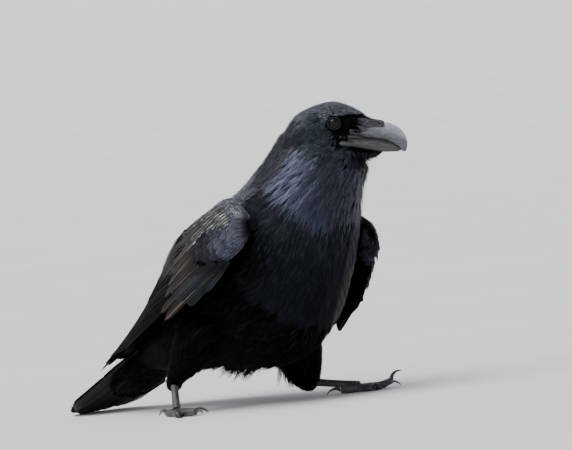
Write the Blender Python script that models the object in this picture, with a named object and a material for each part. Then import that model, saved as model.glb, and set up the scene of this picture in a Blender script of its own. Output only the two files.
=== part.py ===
"""A common raven, life size, standing with its head turned to its left.

Metres, +Z up.  The bird heads towards -Y and its left side is +X.  Soles and tail tip lie at Z = 0.
Lengths in the tables are millimetres in the bird's own words: forward, left, up.
"""
import math
from collections import namedtuple

import bmesh
import bpy
from mathutils import Matrix, Vector

MM = 0.001

# ---------------------------------------------------------------- driving dimensions (millimetres, degrees)
GAP = 0.4                    # clearance between neighbouring solids
BODY_ROLL = 9.0              # the trunk leans to the bird's left
ROLL_AXIS_UP = 120.0         # height of the line that the trunk leans about
HEAD_YAW = 54.0              # the head is turned to the left
HEAD_PITCH = -14.0           # and the bill points a little down
HEAD_AT = (145.3, 43.4, 287.0)   # point between the eyes
EYE_RADIUS = 7.6
EYE_OUT = 17.3               # eye centre from the middle plane of the head
TOE_RADIUS = 4.3
CLAW_RADIUS = 2.7
CLAW_LENGTH = 19.5
CLAW_ROOT = 1.5              # the claw grows from inside the toe's end

# ---------------------------------------------------------------- sections
# A section is an upright superellipse: half width, rise above and drop below its centre.
Section = namedtuple("Section", "forward left up half top bottom pitch yaw roll power")


def section(forward, left, up, half, top, bottom, pitch=0.0, yaw=0.0, roll=0.0, power=2.1):
    return Section(forward, left, up, half, top, bottom, pitch, yaw, roll, power)


# Trunk and neck, from the root of the tail to the base of the head.
TRUNK = [
    section(-170, -3, 60, 22, 12, 16, pitch=22, roll=9, power=2.3),
    section(-140, -1, 72, 33, 20, 32, pitch=24, roll=9, power=2.3),
    section(-100, 0, 90, 48, 42, 53, pitch=25, roll=9),
    section(-50, 2, 112, 58, 62, 76, pitch=26, roll=9),
    section(5, 5, 136, 64, 74, 111, pitch=27, roll=9),
    section(52, 10, 160, 67, 74, 120, pitch=34, roll=8),
    section(88, 16, 188, 65, 66, 87, pitch=46, roll=6),
    section(109, 22, 216, 56, 60, 65, pitch=56, yaw=8, roll=3),
    section(123, 30, 242, 46, 54, 55, pitch=60, yaw=18),
    section(131, 36, 263, 38, 47, 53, pitch=62, yaw=28),
    section(136, 39, 275, 25, 34, 31, pitch=62, yaw=38),
]

# Head, forward along its own axis from the point between the eyes.
HEAD = [
    section(-50, 0, -26, 10, 13, 12),
    section(-42, 0, -18, 20, 20, 20),
    section(-28, 0, -9, 26, 21.5, 27),
    section(-14, 0, -4, 26, 23.5, 31),
    section(0, 0, -2, 22.8, 24.8, 31),
    section(16, 0, -3, 18.5, 22.3, 28),
]


def at(forward, left, up):
    """A place in the bird's words as a vector in metres."""
    return Vector((left, -forward, up)) * MM


def turned(pitch, yaw, roll):
    """Axes of a section: its normal, its left and its up, as unit vectors."""
    turn = (
        Matrix.Rotation(math.radians(yaw), 3, "Z")
        @ Matrix.Rotation(math.radians(-pitch), 3, "X")
        @ Matrix.Rotation(math.radians(roll), 3, "Y")
    )
    return turn @ Vector((0, -1, 0)), turn @ Vector((1, 0, 0)), turn @ Vector((0, 0, 1))


def blended(sections, place):
    """The section at a fractional place along a list, by Catmull-Rom."""
    last = len(sections) - 1
    first = min(int(place), last - 1)
    share = place - first
    near = [sections[min(max(first + step, 0), last)] for step in (-1, 0, 1, 2)]
    values = []
    for a, b, c, d in zip(*near):
        values.append(
            0.5 * (2 * b + (c - a) * share + (2 * a - 5 * b + 4 * c - d) * share ** 2
                   + (3 * b - a - 3 * c + d) * share ** 3)
        )
    return Section(*values)


def ring(sect, frame, grow=0.0, shift=0.0, sides=20):
    """Points round one section, grown outwards and shifted along its normal."""
    normal, left, up = turned(sect.pitch, sect.yaw, sect.roll)
    centre = at(sect.forward, sect.left, sect.up) + normal * shift * MM
    points = []
    for index in range(sides):
        angle = 2 * math.pi * index / sides
        across = math.copysign(abs(math.cos(angle)) ** (2 / sect.power), math.cos(angle))
        rise = math.copysign(abs(math.sin(angle)) ** (2 / sect.power), math.sin(angle))
        height = sect.top if rise > 0 else sect.bottom
        offset = left * across * (sect.half + grow) + up * rise * (height + grow)
        points.append(frame @ (centre + offset * MM))
    return points


def loft(sections, start, end, rings, frame=None, grow=0.0, trim=GAP / 2, sides=20):
    """A closed mesh through the sections from one place on the list to another."""
    frame = frame or Matrix.Identity(4)
    mesh = bmesh.new()
    loops = []
    for index in range(rings):
        place = start + (end - start) * index / (rings - 1)
        shift = 0.0
        if index == 0:
            shift = trim
        elif index == rings - 1:
            shift = -trim
        points = ring(blended(sections, place), frame, grow, shift, sides)
        loops.append([mesh.verts.new(point) for point in points])
    for near, far in zip(loops, loops[1:]):
        for index in range(sides):
            after = (index + 1) % sides
            mesh.faces.new((near[index], near[after], far[after], far[index]))
    mesh.faces.new(loops[0])
    mesh.faces.new(loops[-1])
    bmesh.ops.recalc_face_normals(mesh, faces=mesh.faces)
    return mesh


# ---------------------------------------------------------------- objects, materials, cuts
def clear_scene():
    for obj in list(bpy.data.objects):
        bpy.data.objects.remove(obj, do_unlink=True)


def make_collection(name):
    collection = bpy.data.collections.new(name)
    bpy.context.scene.collection.children.link(collection)
    return collection


def surface(name, colour, roughness, metallic=0.0):
    material = bpy.data.materials.new(name)
    material.use_nodes = True
    shader = material.node_tree.nodes["Principled BSDF"]
    shader.inputs["Base Color"].default_value = (*colour, 1.0)
    shader.inputs["Roughness"].default_value = roughness
    shader.inputs["Metallic"].default_value = metallic
    return material


FINISHES = {
    "plumage": ((0.012, 0.013, 0.018), 0.55),
    "flight": ((0.016, 0.014, 0.014), 0.45),
    "horn": ((0.050, 0.052, 0.058), 0.35),
    "scale": ((0.045, 0.045, 0.048), 0.5),
    "claw": ((0.015, 0.015, 0.017), 0.25),
    "eye": ((0.010, 0.007, 0.006), 0.05),
}


def add_object(name, mesh, collection, finish):
    data = bpy.data.meshes.new(name)
    mesh.to_mesh(data)
    mesh.free()
    data.shade_smooth()
    data.set_sharp_from_angle(angle=math.radians(50))
    obj = bpy.data.objects.new(name, data)
    collection.objects.link(obj)
    if finish:
        colour, roughness = FINISHES[finish]
        data.materials.append(surface(name + "_finish", colour, roughness))
    return obj


def add_cutter(name, mesh, collection):
    cutter = add_object(name, mesh, collection, None)
    cutter.hide_render = True
    cutter.display_type = "WIRE"
    return cutter


def boolean(obj, other, operation):
    change = obj.modifiers.new(operation.lower() + "_" + other.name, "BOOLEAN")
    change.operation = operation
    change.object = other
    change.solver = "EXACT"


# ---------------------------------------------------------------- trunk, neck and head
TRUNK_PARTS = {
    "rump": (0.0, 2.0, 7),
    "belly": (2.0, 4.0, 7),
    "breast": (4.0, 6.0, 7),
    "neck": (6.0, 10.0, 8),
}


def head_frame():
    return (
        Matrix.Translation(at(*HEAD_AT))
        @ Matrix.Rotation(math.radians(HEAD_YAW), 4, "Z")
        @ Matrix.Rotation(math.radians(-HEAD_PITCH), 4, "X")
    )


def build_trunk(parts):
    return {
        name: add_object(name, loft(TRUNK, start, end, rings), parts, "plumage")
        for name, (start, end, rings) in TRUNK_PARTS.items()
    }


def build_head(parts, cutters, neck):
    frame = head_frame()
    head = add_object("head", loft(HEAD, 0, 5, 11, frame), parts, "plumage")
    hollow = add_cutter("head_clearance", loft(HEAD, 0, 5, 11, frame, grow=GAP, trim=-GAP), cutters)
    boolean(neck, hollow, "DIFFERENCE")
    for side, sign in (("left", 1), ("right", -1)):
        middle = frame @ at(0, sign * EYE_OUT, 0)
        boolean(head, add_cutter("socket_" + side, ball(middle, EYE_RADIUS + GAP, 14, 8), cutters), "DIFFERENCE")
        add_object("eye_" + side, ball(middle, EYE_RADIUS, 14, 8), parts, "eye")
    return head


def ball(centre, radius, segments, rings):
    mesh = bmesh.new()
    bmesh.ops.create_uvsphere(
        mesh, u_segments=segments, v_segments=rings, radius=radius * MM,
        matrix=Matrix.Translation(centre),
    )
    return mesh


# Bill and the feathers above and below it, along the head's axis.
BILL_UPPER = [
    section(16.4, 0, 1, 11.5, 12.0, 12.0),
    section(34, 0, -1, 9.6, 10.5, 10.0, power=1.9),
    section(48, 0, -2, 8.0, 9.6, 9.0, power=1.8),
    section(58, 0, -2.8, 6.8, 9.6, 8.8, pitch=-6, power=1.8),
    section(65, 0, -5.5, 5.4, 9.2, 8.4, pitch=-20, power=1.8),
    section(70.5, 0, -9.5, 4.0, 8.0, 6.4, pitch=-36, power=1.8),
    section(74.5, 0, -14.8, 2.6, 5.2, 4.0, pitch=-56, power=1.9),
    section(76.8, 0, -20.4, 1.1, 1.7, 1.5, pitch=-68, power=2.0),
]
BILL_LOWER = [
    section(16.4, 0, -18, 11.0, 6.4, 7.0),
    section(37, 0, -18, 8.6, 6.4, 7.0, power=2.0),
    section(54, 0, -17.8, 6.4, 5.8, 6.2, power=1.9),
    section(64, 0, -18.4, 4.4, 4.0, 4.2, power=1.9),
    section(71, 0, -19.6, 2.0, 1.6, 1.9, power=2.0),
]
NASAL_TUFT = [
    section(16.4, 0, 6, 16.5, 13.2, 6.0),
    section(34, 0, 3.8, 12.4, 8.2, 5.0),
    section(45, 0, 3.2, 9.6, 5.8, 4.4),
    section(52, 0, 3.2, 8.6, 4.9, 1.6),
]
CHIN = [
    section(16.4, 0, -26, 14.0, 4.0, 8.0),
    section(36, 0, -25.5, 9.5, 3.0, 7.5, power=2.0),
    section(48, 0, -25, 5.6, 2.0, 4.6, power=2.0),
    section(55, 0, -24.6, 2.4, 1.4, 1.4, power=2.0),
]


def build_bill(parts, cutters, neck):
    frame = head_frame()
    covers = (
        ("bill_upper", BILL_UPPER, 13, "horn", None),
        ("bill_lower", BILL_LOWER, 9, "horn", "bill_upper"),
        ("nasal_tuft", NASAL_TUFT, 7, "plumage", "bill_upper"),
        ("chin", CHIN, 6, "plumage", "bill_lower"),
    )
    for name, sections, rings, finish, core in covers:
        last = len(sections) - 1
        piece = add_object(name, loft(sections, 0, last, rings, frame, sides=14), parts, finish)
        if core:
            boolean(piece, bpy.data.objects[core + "_clearance"], "DIFFERENCE")
        grown = loft(sections, 0, last, rings, frame, grow=GAP, trim=-GAP, sides=14)
        add_cutter(name + "_clearance", grown, cutters)
    for name in ("chin", "bill_lower"):
        boolean(neck, bpy.data.objects[name + "_clearance"], "DIFFERENCE")


# ---------------------------------------------------------------- wings
# Folded wing from its tip forward to the wrist, in the trunk's own upright frame.
# Half is half the wing's thickness; top and bottom are its blade above and below the bones.
WING = [
    section(-255, 5, 45, 1.6, 4, 4, pitch=22, roll=45),
    section(-212, 12, 64, 3.2, 20, 20, pitch=24, roll=48),
    section(-143, 28, 92, 5, 42, 31, pitch=25, roll=45),
    section(-92, 42, 117, 7, 58, 35, pitch=24, roll=40),
    section(-34, 58, 135, 9.5, 61, 44, pitch=23, roll=25),
    section(33, 70, 164, 11, 46, 48, pitch=23, roll=22),
    section(84, 75, 182, 11, 37, 42, pitch=22, roll=20),
    section(119, 84, 180, 9, 22, 22, pitch=20, roll=16),
    section(133, 83, 183, 4, 7, 7, pitch=20, roll=15),
]
# Feathers let down below the bones, and how much of that they also stand off the body.
WING_SLACK = {"left": (0, 0, 4, 14, 32, 34, 18, 4, 0), "right": (0,) * 9}
STAND_OFF = 0.25
WING_PARTS = {"primaries": (0.0, 3.6, 12), "secondaries": (3.6, 5.5, 7), "arm": (5.5, 8.0, 9)}
WRIST = (125, 83, 183)
WING_TURN = {"left": (-2.0, 3.5, -8.0), "right": (0.0, 0.0, 0.0)}   # tip down, tip out, whole wing out


def roll_frame():
    """Leans the trunk's upright frame to the bird's left."""
    pivot = Matrix.Translation(at(0, 0, ROLL_AXIS_UP))
    return pivot @ Matrix.Rotation(math.radians(BODY_ROLL), 4, "Y") @ pivot.inverted()


def wing_frame(side):
    down, out, aside = WING_TURN[side]
    sign = 1 if side == "left" else -1
    forward, left, up = WRIST
    wrist = Matrix.Translation(at(forward, sign * left, up))
    swing = (
        Matrix.Rotation(math.radians(sign * -out), 4, "Z")
        @ Matrix.Rotation(math.radians(-down), 4, "X")
    )
    shift = Matrix.Translation(at(0, sign * aside, 0))
    return roll_frame() @ shift @ wrist @ swing @ wrist.inverted()


def build_wing(side, parts):
    sign = 1 if side == "left" else -1
    sections = [
        sect._replace(
            left=sign * (sect.left + STAND_OFF * slack), roll=-sign * sect.roll, bottom=sect.bottom + slack)
        for sect, slack in zip(WING, WING_SLACK[side])
    ]
    frame = wing_frame(side)
    for name, (start, end, rings) in WING_PARTS.items():
        blade = loft(sections, start, end, rings, frame, sides=16)
        blade = add_object(f"wing_{side}_{name}", blade, parts, "flight")
        boolean(blade, bpy.data.objects["trunk_clearance"], "DIFFERENCE")


# ---------------------------------------------------------------- tail
def raised(sect, rise, half, top, bottom):
    """A section in the plane of another one, moved along its up direction."""
    _, _, up = turned(sect.pitch, sect.yaw, sect.roll)
    left, back, height = up * rise
    return sect._replace(
        forward=sect.forward - back, left=sect.left + left, up=sect.up + height,
        half=half, top=top, bottom=bottom,
    )


# From the tip of the middle feathers forward to the root, in the plane of the trunk's end.
TAIL = [
    section(-313, -8, 2.2, 9, 1.8, 2.6, pitch=8),
    section(-302, -8, 4, 27, 2.4, 3.6, pitch=10),
    section(-282, -7, 9, 38, 3.2, 3.6, pitch=15, roll=4),
    section(-250, -5, 19, 41, 4.2, 4.0, pitch=18, roll=9),
    section(-213, -3, 37, 36, 5.5, 5.0, pitch=21, roll=10),
    raised(TRUNK[0], 2, 22, 8, 6),
]
UNDERTAIL = [
    section(-236, -4, 21, 10, 3, 3, pitch=18, roll=9),
    section(-222, -4, 26, 24, 6, 7, pitch=20, roll=9),
    section(-196, -3, 38, 30, 10, 13, pitch=22, roll=9),
    raised(TRUNK[0], -6, 24, 9, 13),
]


def build_tail(parts, cutters):
    tail = add_object("tail", loft(TAIL, 0, 5, 12, sides=18), parts, "flight")
    boolean(tail, bpy.data.objects["floor_clearance"], "DIFFERENCE")
    grown = add_cutter("tail_clearance", loft(TAIL, 0, 5, 12, grow=GAP, trim=-GAP, sides=18), cutters)
    coverts = add_object("undertail", loft(UNDERTAIL, 0, 3, 8, sides=18), parts, "plumage")
    boolean(coverts, grown, "DIFFERENCE")


# ---------------------------------------------------------------- legs
# Places of the joints, the way the toes point, and the height of the front toes' ends.
Leg = namedtuple("Leg", "hip knee ankle foot heading")
LEGS = {
    "right": Leg((5, -38, 95), (-14, -54, 74), (-57, -60, 36), (-30, -80, 7), -6),
    "left": Leg((20, 42, 85), (20, 54, 50), (9, 65, 15.4), (72, 86, 7), 26),
}
# Bearing outwards from the foot's heading, length, rise of the last joint.
TOES = {
    "inner": (-26, 25, 0),
    "middle": (0, 40, 1),
    "outer": (27, 29, 0),
    "hind": (176, 20, 0),
}
TURNED = {("left", "hind"): -146}    # bearing of a toe that lies another way
RAISED = {("left", "middle"): 5}     # rise of a toe that is lifted
CLAW_PITCH = {"level": 33, "lifted": 74}    # how steeply a claw leaves its toe
THIGH_RADII = {"left": (32, 24, 14), "right": (32, 27, 8)}
SHANK_RADII = (4.6, 4.0, 4.8)


def tube(points, radii, rings, sides=12, grow=0.0, trim=GAP / 2):
    """A limb through points, each with its own radius."""
    sections = []
    for index, (point, radius) in enumerate(zip(points, radii)):
        run = Vector(points[min(index + 1, len(points) - 1)]) - Vector(points[max(index - 1, 0)])
        pitch = math.degrees(math.atan2(run.z, math.hypot(run.x, run.y)))
        yaw = math.degrees(math.atan2(run.y, run.x))
        sections.append(section(*point, radius, radius, radius, pitch, yaw, power=2.0))
    return loft(sections, 0, len(sections) - 1, rings, grow=grow, trim=trim, sides=sides)


def heading_vector(heading):
    return Vector((math.cos(math.radians(heading)), math.sin(math.radians(heading)), 0))


def toe_points(leg, bearing, length, rise):
    run = heading_vector(bearing)
    level = TOE_RADIUS - 0.35
    start = Vector((leg.foot[0], leg.foot[1], level))
    lift = Vector((0, 0, 1))
    return [start, start + run * length * 0.55, start + run * length + lift * rise]


def claw_points(base, bearing, first_pitch, steps=6):
    """A claw bends down by one angle at each step."""
    points = [base]
    run = heading_vector(bearing)
    for index in range(steps):
        pitch = math.radians(first_pitch - 85 * index / (steps - 1))
        step = run * math.cos(pitch) + Vector((0, 0, math.sin(pitch)))
        points.append(points[-1] + step * CLAW_LENGTH / steps)
    return points


def build_foot(side, leg, parts, cutters):
    """Toes joined at the ball of the foot, and a claw at each end."""
    outward = 1 if side == "left" else -1
    foot = None
    for name, (bearing, length, rise) in TOES.items():
        rise = RAISED.get((side, name), rise)
        bearing = leg.heading + outward * TURNED.get((side, name), bearing)
        points = toe_points(leg, bearing, length, rise)
        radii = (TOE_RADIUS + 0.6, TOE_RADIUS, TOE_RADIUS - 0.9)
        grown = tube(points, radii, 4, sides=10, grow=GAP, trim=-GAP)
        grown = add_cutter(f"toe_{side}_{name}_clearance", grown, cutters)
        toe = tube(points, radii, 5, sides=10)
        if foot is None:
            foot = add_object(f"foot_{side}", toe, parts, "scale")
        else:
            boolean(foot, add_cutter(f"toe_{side}_{name}", toe, cutters), "UNION")
        first_pitch = CLAW_PITCH["lifted" if rise > 2 else "level"]
        base = points[-1] - heading_vector(bearing) * CLAW_ROOT
        claw = claw_points(base, bearing, first_pitch)
        claw_radii = [CLAW_RADIUS * (1 - 0.14 * index) for index in range(len(claw))]
        claw = add_object(f"claw_{side}_{name}", tube(claw, claw_radii, 8, sides=7), parts, "claw")
        boolean(claw, grown, "DIFFERENCE")
    boolean(foot, bpy.data.objects["floor_clearance"], "DIFFERENCE")


def build_leg(side, parts, cutters):
    leg = LEGS[side]
    joints = [leg.hip, leg.knee, leg.ankle]
    thigh = add_object(f"thigh_{side}", tube(joints, THIGH_RADII[side], 8, sides=14), parts, "plumage")
    boolean(thigh, bpy.data.objects["trunk_clearance"], "DIFFERENCE")
    grown = add_cutter(
        f"thigh_{side}_clearance", tube(joints, THIGH_RADII[side], 8, sides=14, grow=GAP, trim=-GAP), cutters)
    build_foot(side, leg, parts, cutters)
    middle = [(a + b) / 2 for a, b in zip(leg.ankle, leg.foot)]
    shank = add_object(f"shank_{side}", tube([leg.ankle, middle, leg.foot], SHANK_RADII, 5, sides=9), parts, "scale")
    boolean(shank, grown, "DIFFERENCE")
    for name in TOES:
        boolean(shank, bpy.data.objects[f"toe_{side}_{name}_clearance"], "DIFFERENCE")


# ---------------------------------------------------------------- the whole bird
def centre_on_floor(parts, cutters):
    """Brings the middle of the bird's bounding box over the origin."""
    depsgraph = bpy.context.evaluated_depsgraph_get()
    corners = [
        Vector(corner)
        for obj in parts.objects
        for corner in obj.evaluated_get(depsgraph).bound_box
    ]
    for axis in (0, 1):
        values = [corner[axis] for corner in corners]
        middle = (min(values) + max(values)) / 2
        for obj in [*parts.objects, *cutters.objects]:
            obj.location[axis] -= middle


def build():
    clear_scene()
    parts = make_collection("raven")
    cutters = make_collection("raven_cutters")
    trunk = build_trunk(parts)
    build_head(parts, cutters, trunk["neck"])
    build_bill(parts, cutters, trunk["neck"])
    add_cutter("trunk_clearance", loft(TRUNK, 0, 7, 22, grow=GAP, trim=-GAP), cutters)
    floor = bmesh.new()
    bmesh.ops.create_cube(
        floor, size=1.0, matrix=Matrix.Translation((0, 0, -0.05)) @ Matrix.Diagonal((2, 2, 0.1, 1)))
    add_cutter("floor_clearance", floor, cutters)
    for side in ("left", "right"):
        build_wing(side, parts)
        build_leg(side, parts, cutters)
    build_tail(parts, cutters)
    centre_on_floor(parts, cutters)


build()
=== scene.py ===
"""Looks of a life-size standing raven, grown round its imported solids.

Metres, +Z up.  Tables give millimetres in the bird's own words: forward, left, up.
"""
import itertools
import math
from collections import namedtuple

import bpy
import numpy as np
from mathutils import Matrix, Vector
from mathutils.bvhtree import BVHTree


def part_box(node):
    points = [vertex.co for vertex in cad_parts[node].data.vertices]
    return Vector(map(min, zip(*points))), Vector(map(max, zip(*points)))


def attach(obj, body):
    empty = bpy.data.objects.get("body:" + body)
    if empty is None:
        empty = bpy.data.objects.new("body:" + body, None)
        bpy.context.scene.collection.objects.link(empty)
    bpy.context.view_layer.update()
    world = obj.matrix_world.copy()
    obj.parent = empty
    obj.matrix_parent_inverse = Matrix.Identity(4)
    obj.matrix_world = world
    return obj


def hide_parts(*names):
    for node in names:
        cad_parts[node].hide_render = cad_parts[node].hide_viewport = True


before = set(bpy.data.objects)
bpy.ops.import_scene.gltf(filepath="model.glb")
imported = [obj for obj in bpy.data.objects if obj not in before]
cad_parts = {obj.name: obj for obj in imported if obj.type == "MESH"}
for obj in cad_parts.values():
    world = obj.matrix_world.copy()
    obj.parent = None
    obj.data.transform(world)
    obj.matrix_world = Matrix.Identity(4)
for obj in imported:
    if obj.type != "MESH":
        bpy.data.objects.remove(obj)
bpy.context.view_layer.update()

MM = 0.001
BAKE_PATCH = 0.003           # side of one feather's patch on the bake map, metres
BLADE_DEPTH = 1.2            # how far the skin lies inside a folded wing or the tail, millimetres
FLOOR_GAP = 0.4              # feathers stay this far above the floor, millimetres
LOOSE_LIFT = 0.0003          # what the tip of any body feather may stand out further, metres
UP = np.array((0.0, 0.0, 1.0))
SIDES = {"left": 1, "right": -1}
rng = np.random.default_rng(11)


# ---------------- places and axes
def unit(vectors):
    return vectors / np.maximum(np.linalg.norm(vectors, axis=-1, keepdims=True), 1e-12)


def bird(forward, left, up):
    """A run in the bird's own words, along the axes of the model."""
    return np.array((left, -forward, up)) * MM


def middle(node):
    low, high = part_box(node)
    return (np.array(low) + np.array(high)) / 2


EYES = {side: middle("eye_" + side) for side in SIDES}
EYE_RADIUS = (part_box("eye_left")[1].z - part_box("eye_left")[0].z) / 2
BROW = (EYES["left"] + EYES["right"]) / 2                 # point between the eyes
ORIGIN = BROW - bird(145.3, 43.4, 287.0)                  # where forward, left and up are counted from
HEAD_PITCH = math.radians(-14)
HEAD_LEFT = unit(EYES["left"] - EYES["right"])
HEAD_FORWARD = np.cross(HEAD_LEFT, UP) * math.cos(HEAD_PITCH) + UP * math.sin(HEAD_PITCH)
HEAD_UP = np.cross(HEAD_FORWARD, HEAD_LEFT)
HEAD_AXES = np.array((HEAD_FORWARD, HEAD_LEFT, HEAD_UP))


def on_bird(forward, left, up):
    return ORIGIN + bird(forward, left, up)


def head_run(forward, left, up):
    """A run in the head's own words, along the axes of the model."""
    return np.array((forward, left, up)) * MM @ HEAD_AXES


def on_head(forward, left, up):
    """A place in the head's own words, counted from between the eyes."""
    return BROW + head_run(forward, left, up)


def along_surface(vectors, normals):
    """What is left of the vectors across the normals."""
    return vectors - normals * (vectors * normals).sum(1, keepdims=True)


def nearest_gap(points, places):
    """Distance of each point from the nearest of some places."""
    return np.min([np.linalg.norm(points - place, axis=1) for place in places], axis=0)


def turned(pitch, yaw, roll):
    """Left and up of a station of the trunk, as unit vectors."""
    p, y, r = (math.radians(angle) for angle in (pitch, yaw, roll))
    tip = np.array(((1, 0, 0), (0, math.cos(p), math.sin(p)), (0, -math.sin(p), math.cos(p))))
    swing = np.array(((math.cos(y), -math.sin(y), 0), (math.sin(y), math.cos(y), 0), (0, 0, 1)))
    lean = np.array(((math.cos(r), 0, math.sin(r)), (0, 1, 0), (-math.sin(r), 0, math.cos(r))))
    turn = swing @ tip @ lean
    return turn[:, 0], turn[:, 2]


# ---------------- meshes
def numbers(items, name, size, kind=np.float32):
    values = np.empty(len(items) * size, kind)
    items.foreach_get(name, values)
    return values.reshape(-1, size)


def points_and_normals(mesh):
    points = numbers(mesh.vertices, "co", 3).astype(float)
    return points, numbers(mesh.vertex_normals, "vector", 3).astype(float)


def corner_points(points, triangles):
    return (points[triangles[:, corner]] for corner in range(3))


def joined(nodes, grow):
    """Points and faces of several CAD nodes, each welded and grown outwards."""
    points, faces, count = [], [], 0
    for node in nodes:
        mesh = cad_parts[node].data
        raw = numbers(mesh.vertices, "co", 3).astype(float)
        _, first, place = np.unique(np.round(raw, 6), axis=0, return_index=True, return_inverse=True)
        mesh.calc_loop_triangles()
        triangles = place.reshape(-1)[numbers(mesh.loop_triangles, "vertices", 3, np.int32)]
        flat = raw[first]
        a, b, c = corner_points(flat, triangles)
        side = np.cross(b - a, c - a)
        normals = np.zeros_like(flat)
        for corner in range(3):
            np.add.at(normals, triangles[:, corner], side)
        points.append(flat + unit(normals) * grow)
        faces.append(triangles + count)
        count += len(flat)
    return np.concatenate(points), np.concatenate(faces)


def mesh_object(name, points, faces):
    """A smooth mesh object from arrays of points and of equal-sided faces."""
    faces = np.asarray(faces)
    mesh = bpy.data.meshes.new(name)
    mesh.vertices.add(len(points))
    mesh.vertices.foreach_set("co", np.asarray(points, np.float32).ravel())
    mesh.loops.add(faces.size)
    mesh.loops.foreach_set("vertex_index", faces.astype(np.int32).ravel())
    mesh.polygons.add(len(faces))
    mesh.polygons.foreach_set("loop_start", np.arange(0, faces.size, faces.shape[1], dtype=np.int32))
    mesh.update(calc_edges=True)
    mesh.shade_smooth()
    obj = bpy.data.objects.new(name, mesh)
    bpy.context.scene.collection.objects.link(obj)
    return obj


def reshape(piece, points):
    piece.data.vertices.foreach_set("co", points.astype(np.float32).ravel())
    piece.data.update()


def add_map(piece, name, values):
    """A map with one pair of values for each vertex."""
    corners = numbers(piece.data.loops, "vertex_index", 1, np.int32)[:, 0]
    layer = piece.data.uv_layers.new(name=name)
    layer.uv.foreach_set("vector", values[corners].astype(np.float32).ravel())


def dress(piece, slot, *materials, replaced=()):
    """Gives a piece its materials and body, and hides the CAD nodes it replaces; its slot is not used."""
    for material in materials:
        piece.data.materials.append(material)
    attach(piece, "root")
    if replaced:
        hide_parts(*replaced)


def circle(sides):
    return np.linspace(0, 2 * math.pi, sides, endpoint=False)


def grid_quads(rows, columns, closed=False):
    """Faces of a grid of points; a closed grid joins its last column to its first."""
    index = np.arange(rows * columns).reshape(rows, columns)
    after = np.roll(index, -1, axis=1)
    if not closed:
        index, after = index[:, :-1], after[:, :-1]
    return np.stack((index[:-1], index[1:], after[1:], after[:-1]), -1).reshape(-1, 4)


def rings_object(name, rings):
    """A mesh object from rings of points one after another."""
    quads = grid_quads(*rings.shape[:2], closed=True)[:, (0, 3, 2, 1)]
    return mesh_object(name, rings.reshape(-1, 3), quads)


def settled(obj):
    """Applies an object's modifiers."""
    bpy.context.view_layer.update()
    mesh = bpy.data.meshes.new_from_object(obj.evaluated_get(bpy.context.evaluated_depsgraph_get()))
    mesh.name = obj.name
    obj.modifiers.clear()
    obj.data = mesh
    obj.data.shade_smooth()
    return obj


def ball(centre, radii, axes, rings=10, sides=16):
    """Points and triangles of a ball, squashed along some axes."""
    tilt, turn = np.meshgrid(np.linspace(0.02, math.pi - 0.02, rings), circle(sides), indexing="ij")
    spots = np.stack((np.sin(tilt) * np.cos(turn), np.sin(tilt) * np.sin(turn), np.cos(tilt)), -1)
    quads = grid_quads(rings, sides, closed=True)
    cap = np.array([(0, side, side + 1) for side in range(1, sides - 1)])
    foot = cap[:, (0, 2, 1)] + (rings - 1) * sides
    triangles = np.concatenate((quads[:, :3], quads[:, (0, 2, 3)], cap, foot))
    return centre + spots.reshape(-1, 3) * radii @ axes, triangles


def fused(name, nodes, voxel, grow, rounds, pads=()):
    """One closed, smooth mesh round several CAD nodes and padding balls."""
    points, faces = joined(nodes, grow * MM)
    for centre, radii, axes in pads:
        more, triangles = ball(centre, radii, axes)
        faces = np.concatenate((faces, triangles + len(points)))
        points = np.concatenate((points, more))
    obj = mesh_object(name, points, faces)
    remesh = obj.modifiers.new("fuse", "REMESH")
    remesh.mode = "VOXEL"
    remesh.voxel_size = voxel * MM
    relax = obj.modifiers.new("relax", "SMOOTH")
    relax.factor = 0.5
    relax.iterations = rounds
    return settled(obj)


class Surface:
    """A closed mesh to grow feathers on."""

    def __init__(self, obj):
        mesh = obj.data
        self.points, self.normals = points_and_normals(mesh)
        mesh.calc_loop_triangles()
        self.triangles = numbers(mesh.loop_triangles, "vertices", 3, np.int32)
        self.tree = BVHTree.FromPolygons(self.points.tolist(), self.triangles.tolist())

    def nearest(self, places):
        """Nearest points on the surface, and what reads vertex values there."""
        hits = [self.tree.find_nearest(place) for place in places.tolist()]
        found = np.array([hit[0] for hit in hits])
        corners = self.triangles[[hit[2] for hit in hits]]
        a, b, c = corner_points(self.points, corners)
        whole = np.linalg.norm(np.cross(b - a, c - a), axis=1) + 1e-15
        far = np.linalg.norm(np.cross(b - found, c - found), axis=1) / whole
        near = np.linalg.norm(np.cross(c - found, a - found), axis=1) / whole
        weights = np.stack((far, near, np.clip(1 - far - near, 0, 1)), 1)

        def read(values):
            return (values[corners] * weights[:, :, None]).sum(1)
        return found, read

    def covered(self, places, runs, reach):
        """Whether a ray from each place meets this surface within reach."""
        rays = zip(places.tolist(), runs.tolist())
        return np.array([self.tree.ray_cast(place, run, reach)[0] is not None for place, run in rays])

    def thickness(self):
        """How much of the body lies below each point of the surface."""
        rays = zip((self.points - self.normals * 1e-4).tolist(), (-self.normals).tolist())
        hits = [self.tree.ray_cast(place, run, 0.2)[3] for place, run in rays]
        return np.array([0.2 if hit is None else hit for hit in hits])


def surface_round(nodes, voxel, grow, rounds, pads=()):
    """The surface of some CAD nodes joined to one; nothing of it stays in the scene."""
    shape = fused("shape", nodes, voxel, grow, rounds, pads)
    surface = Surface(shape)
    bpy.data.objects.remove(shape, do_unlink=True)
    return surface


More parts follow.
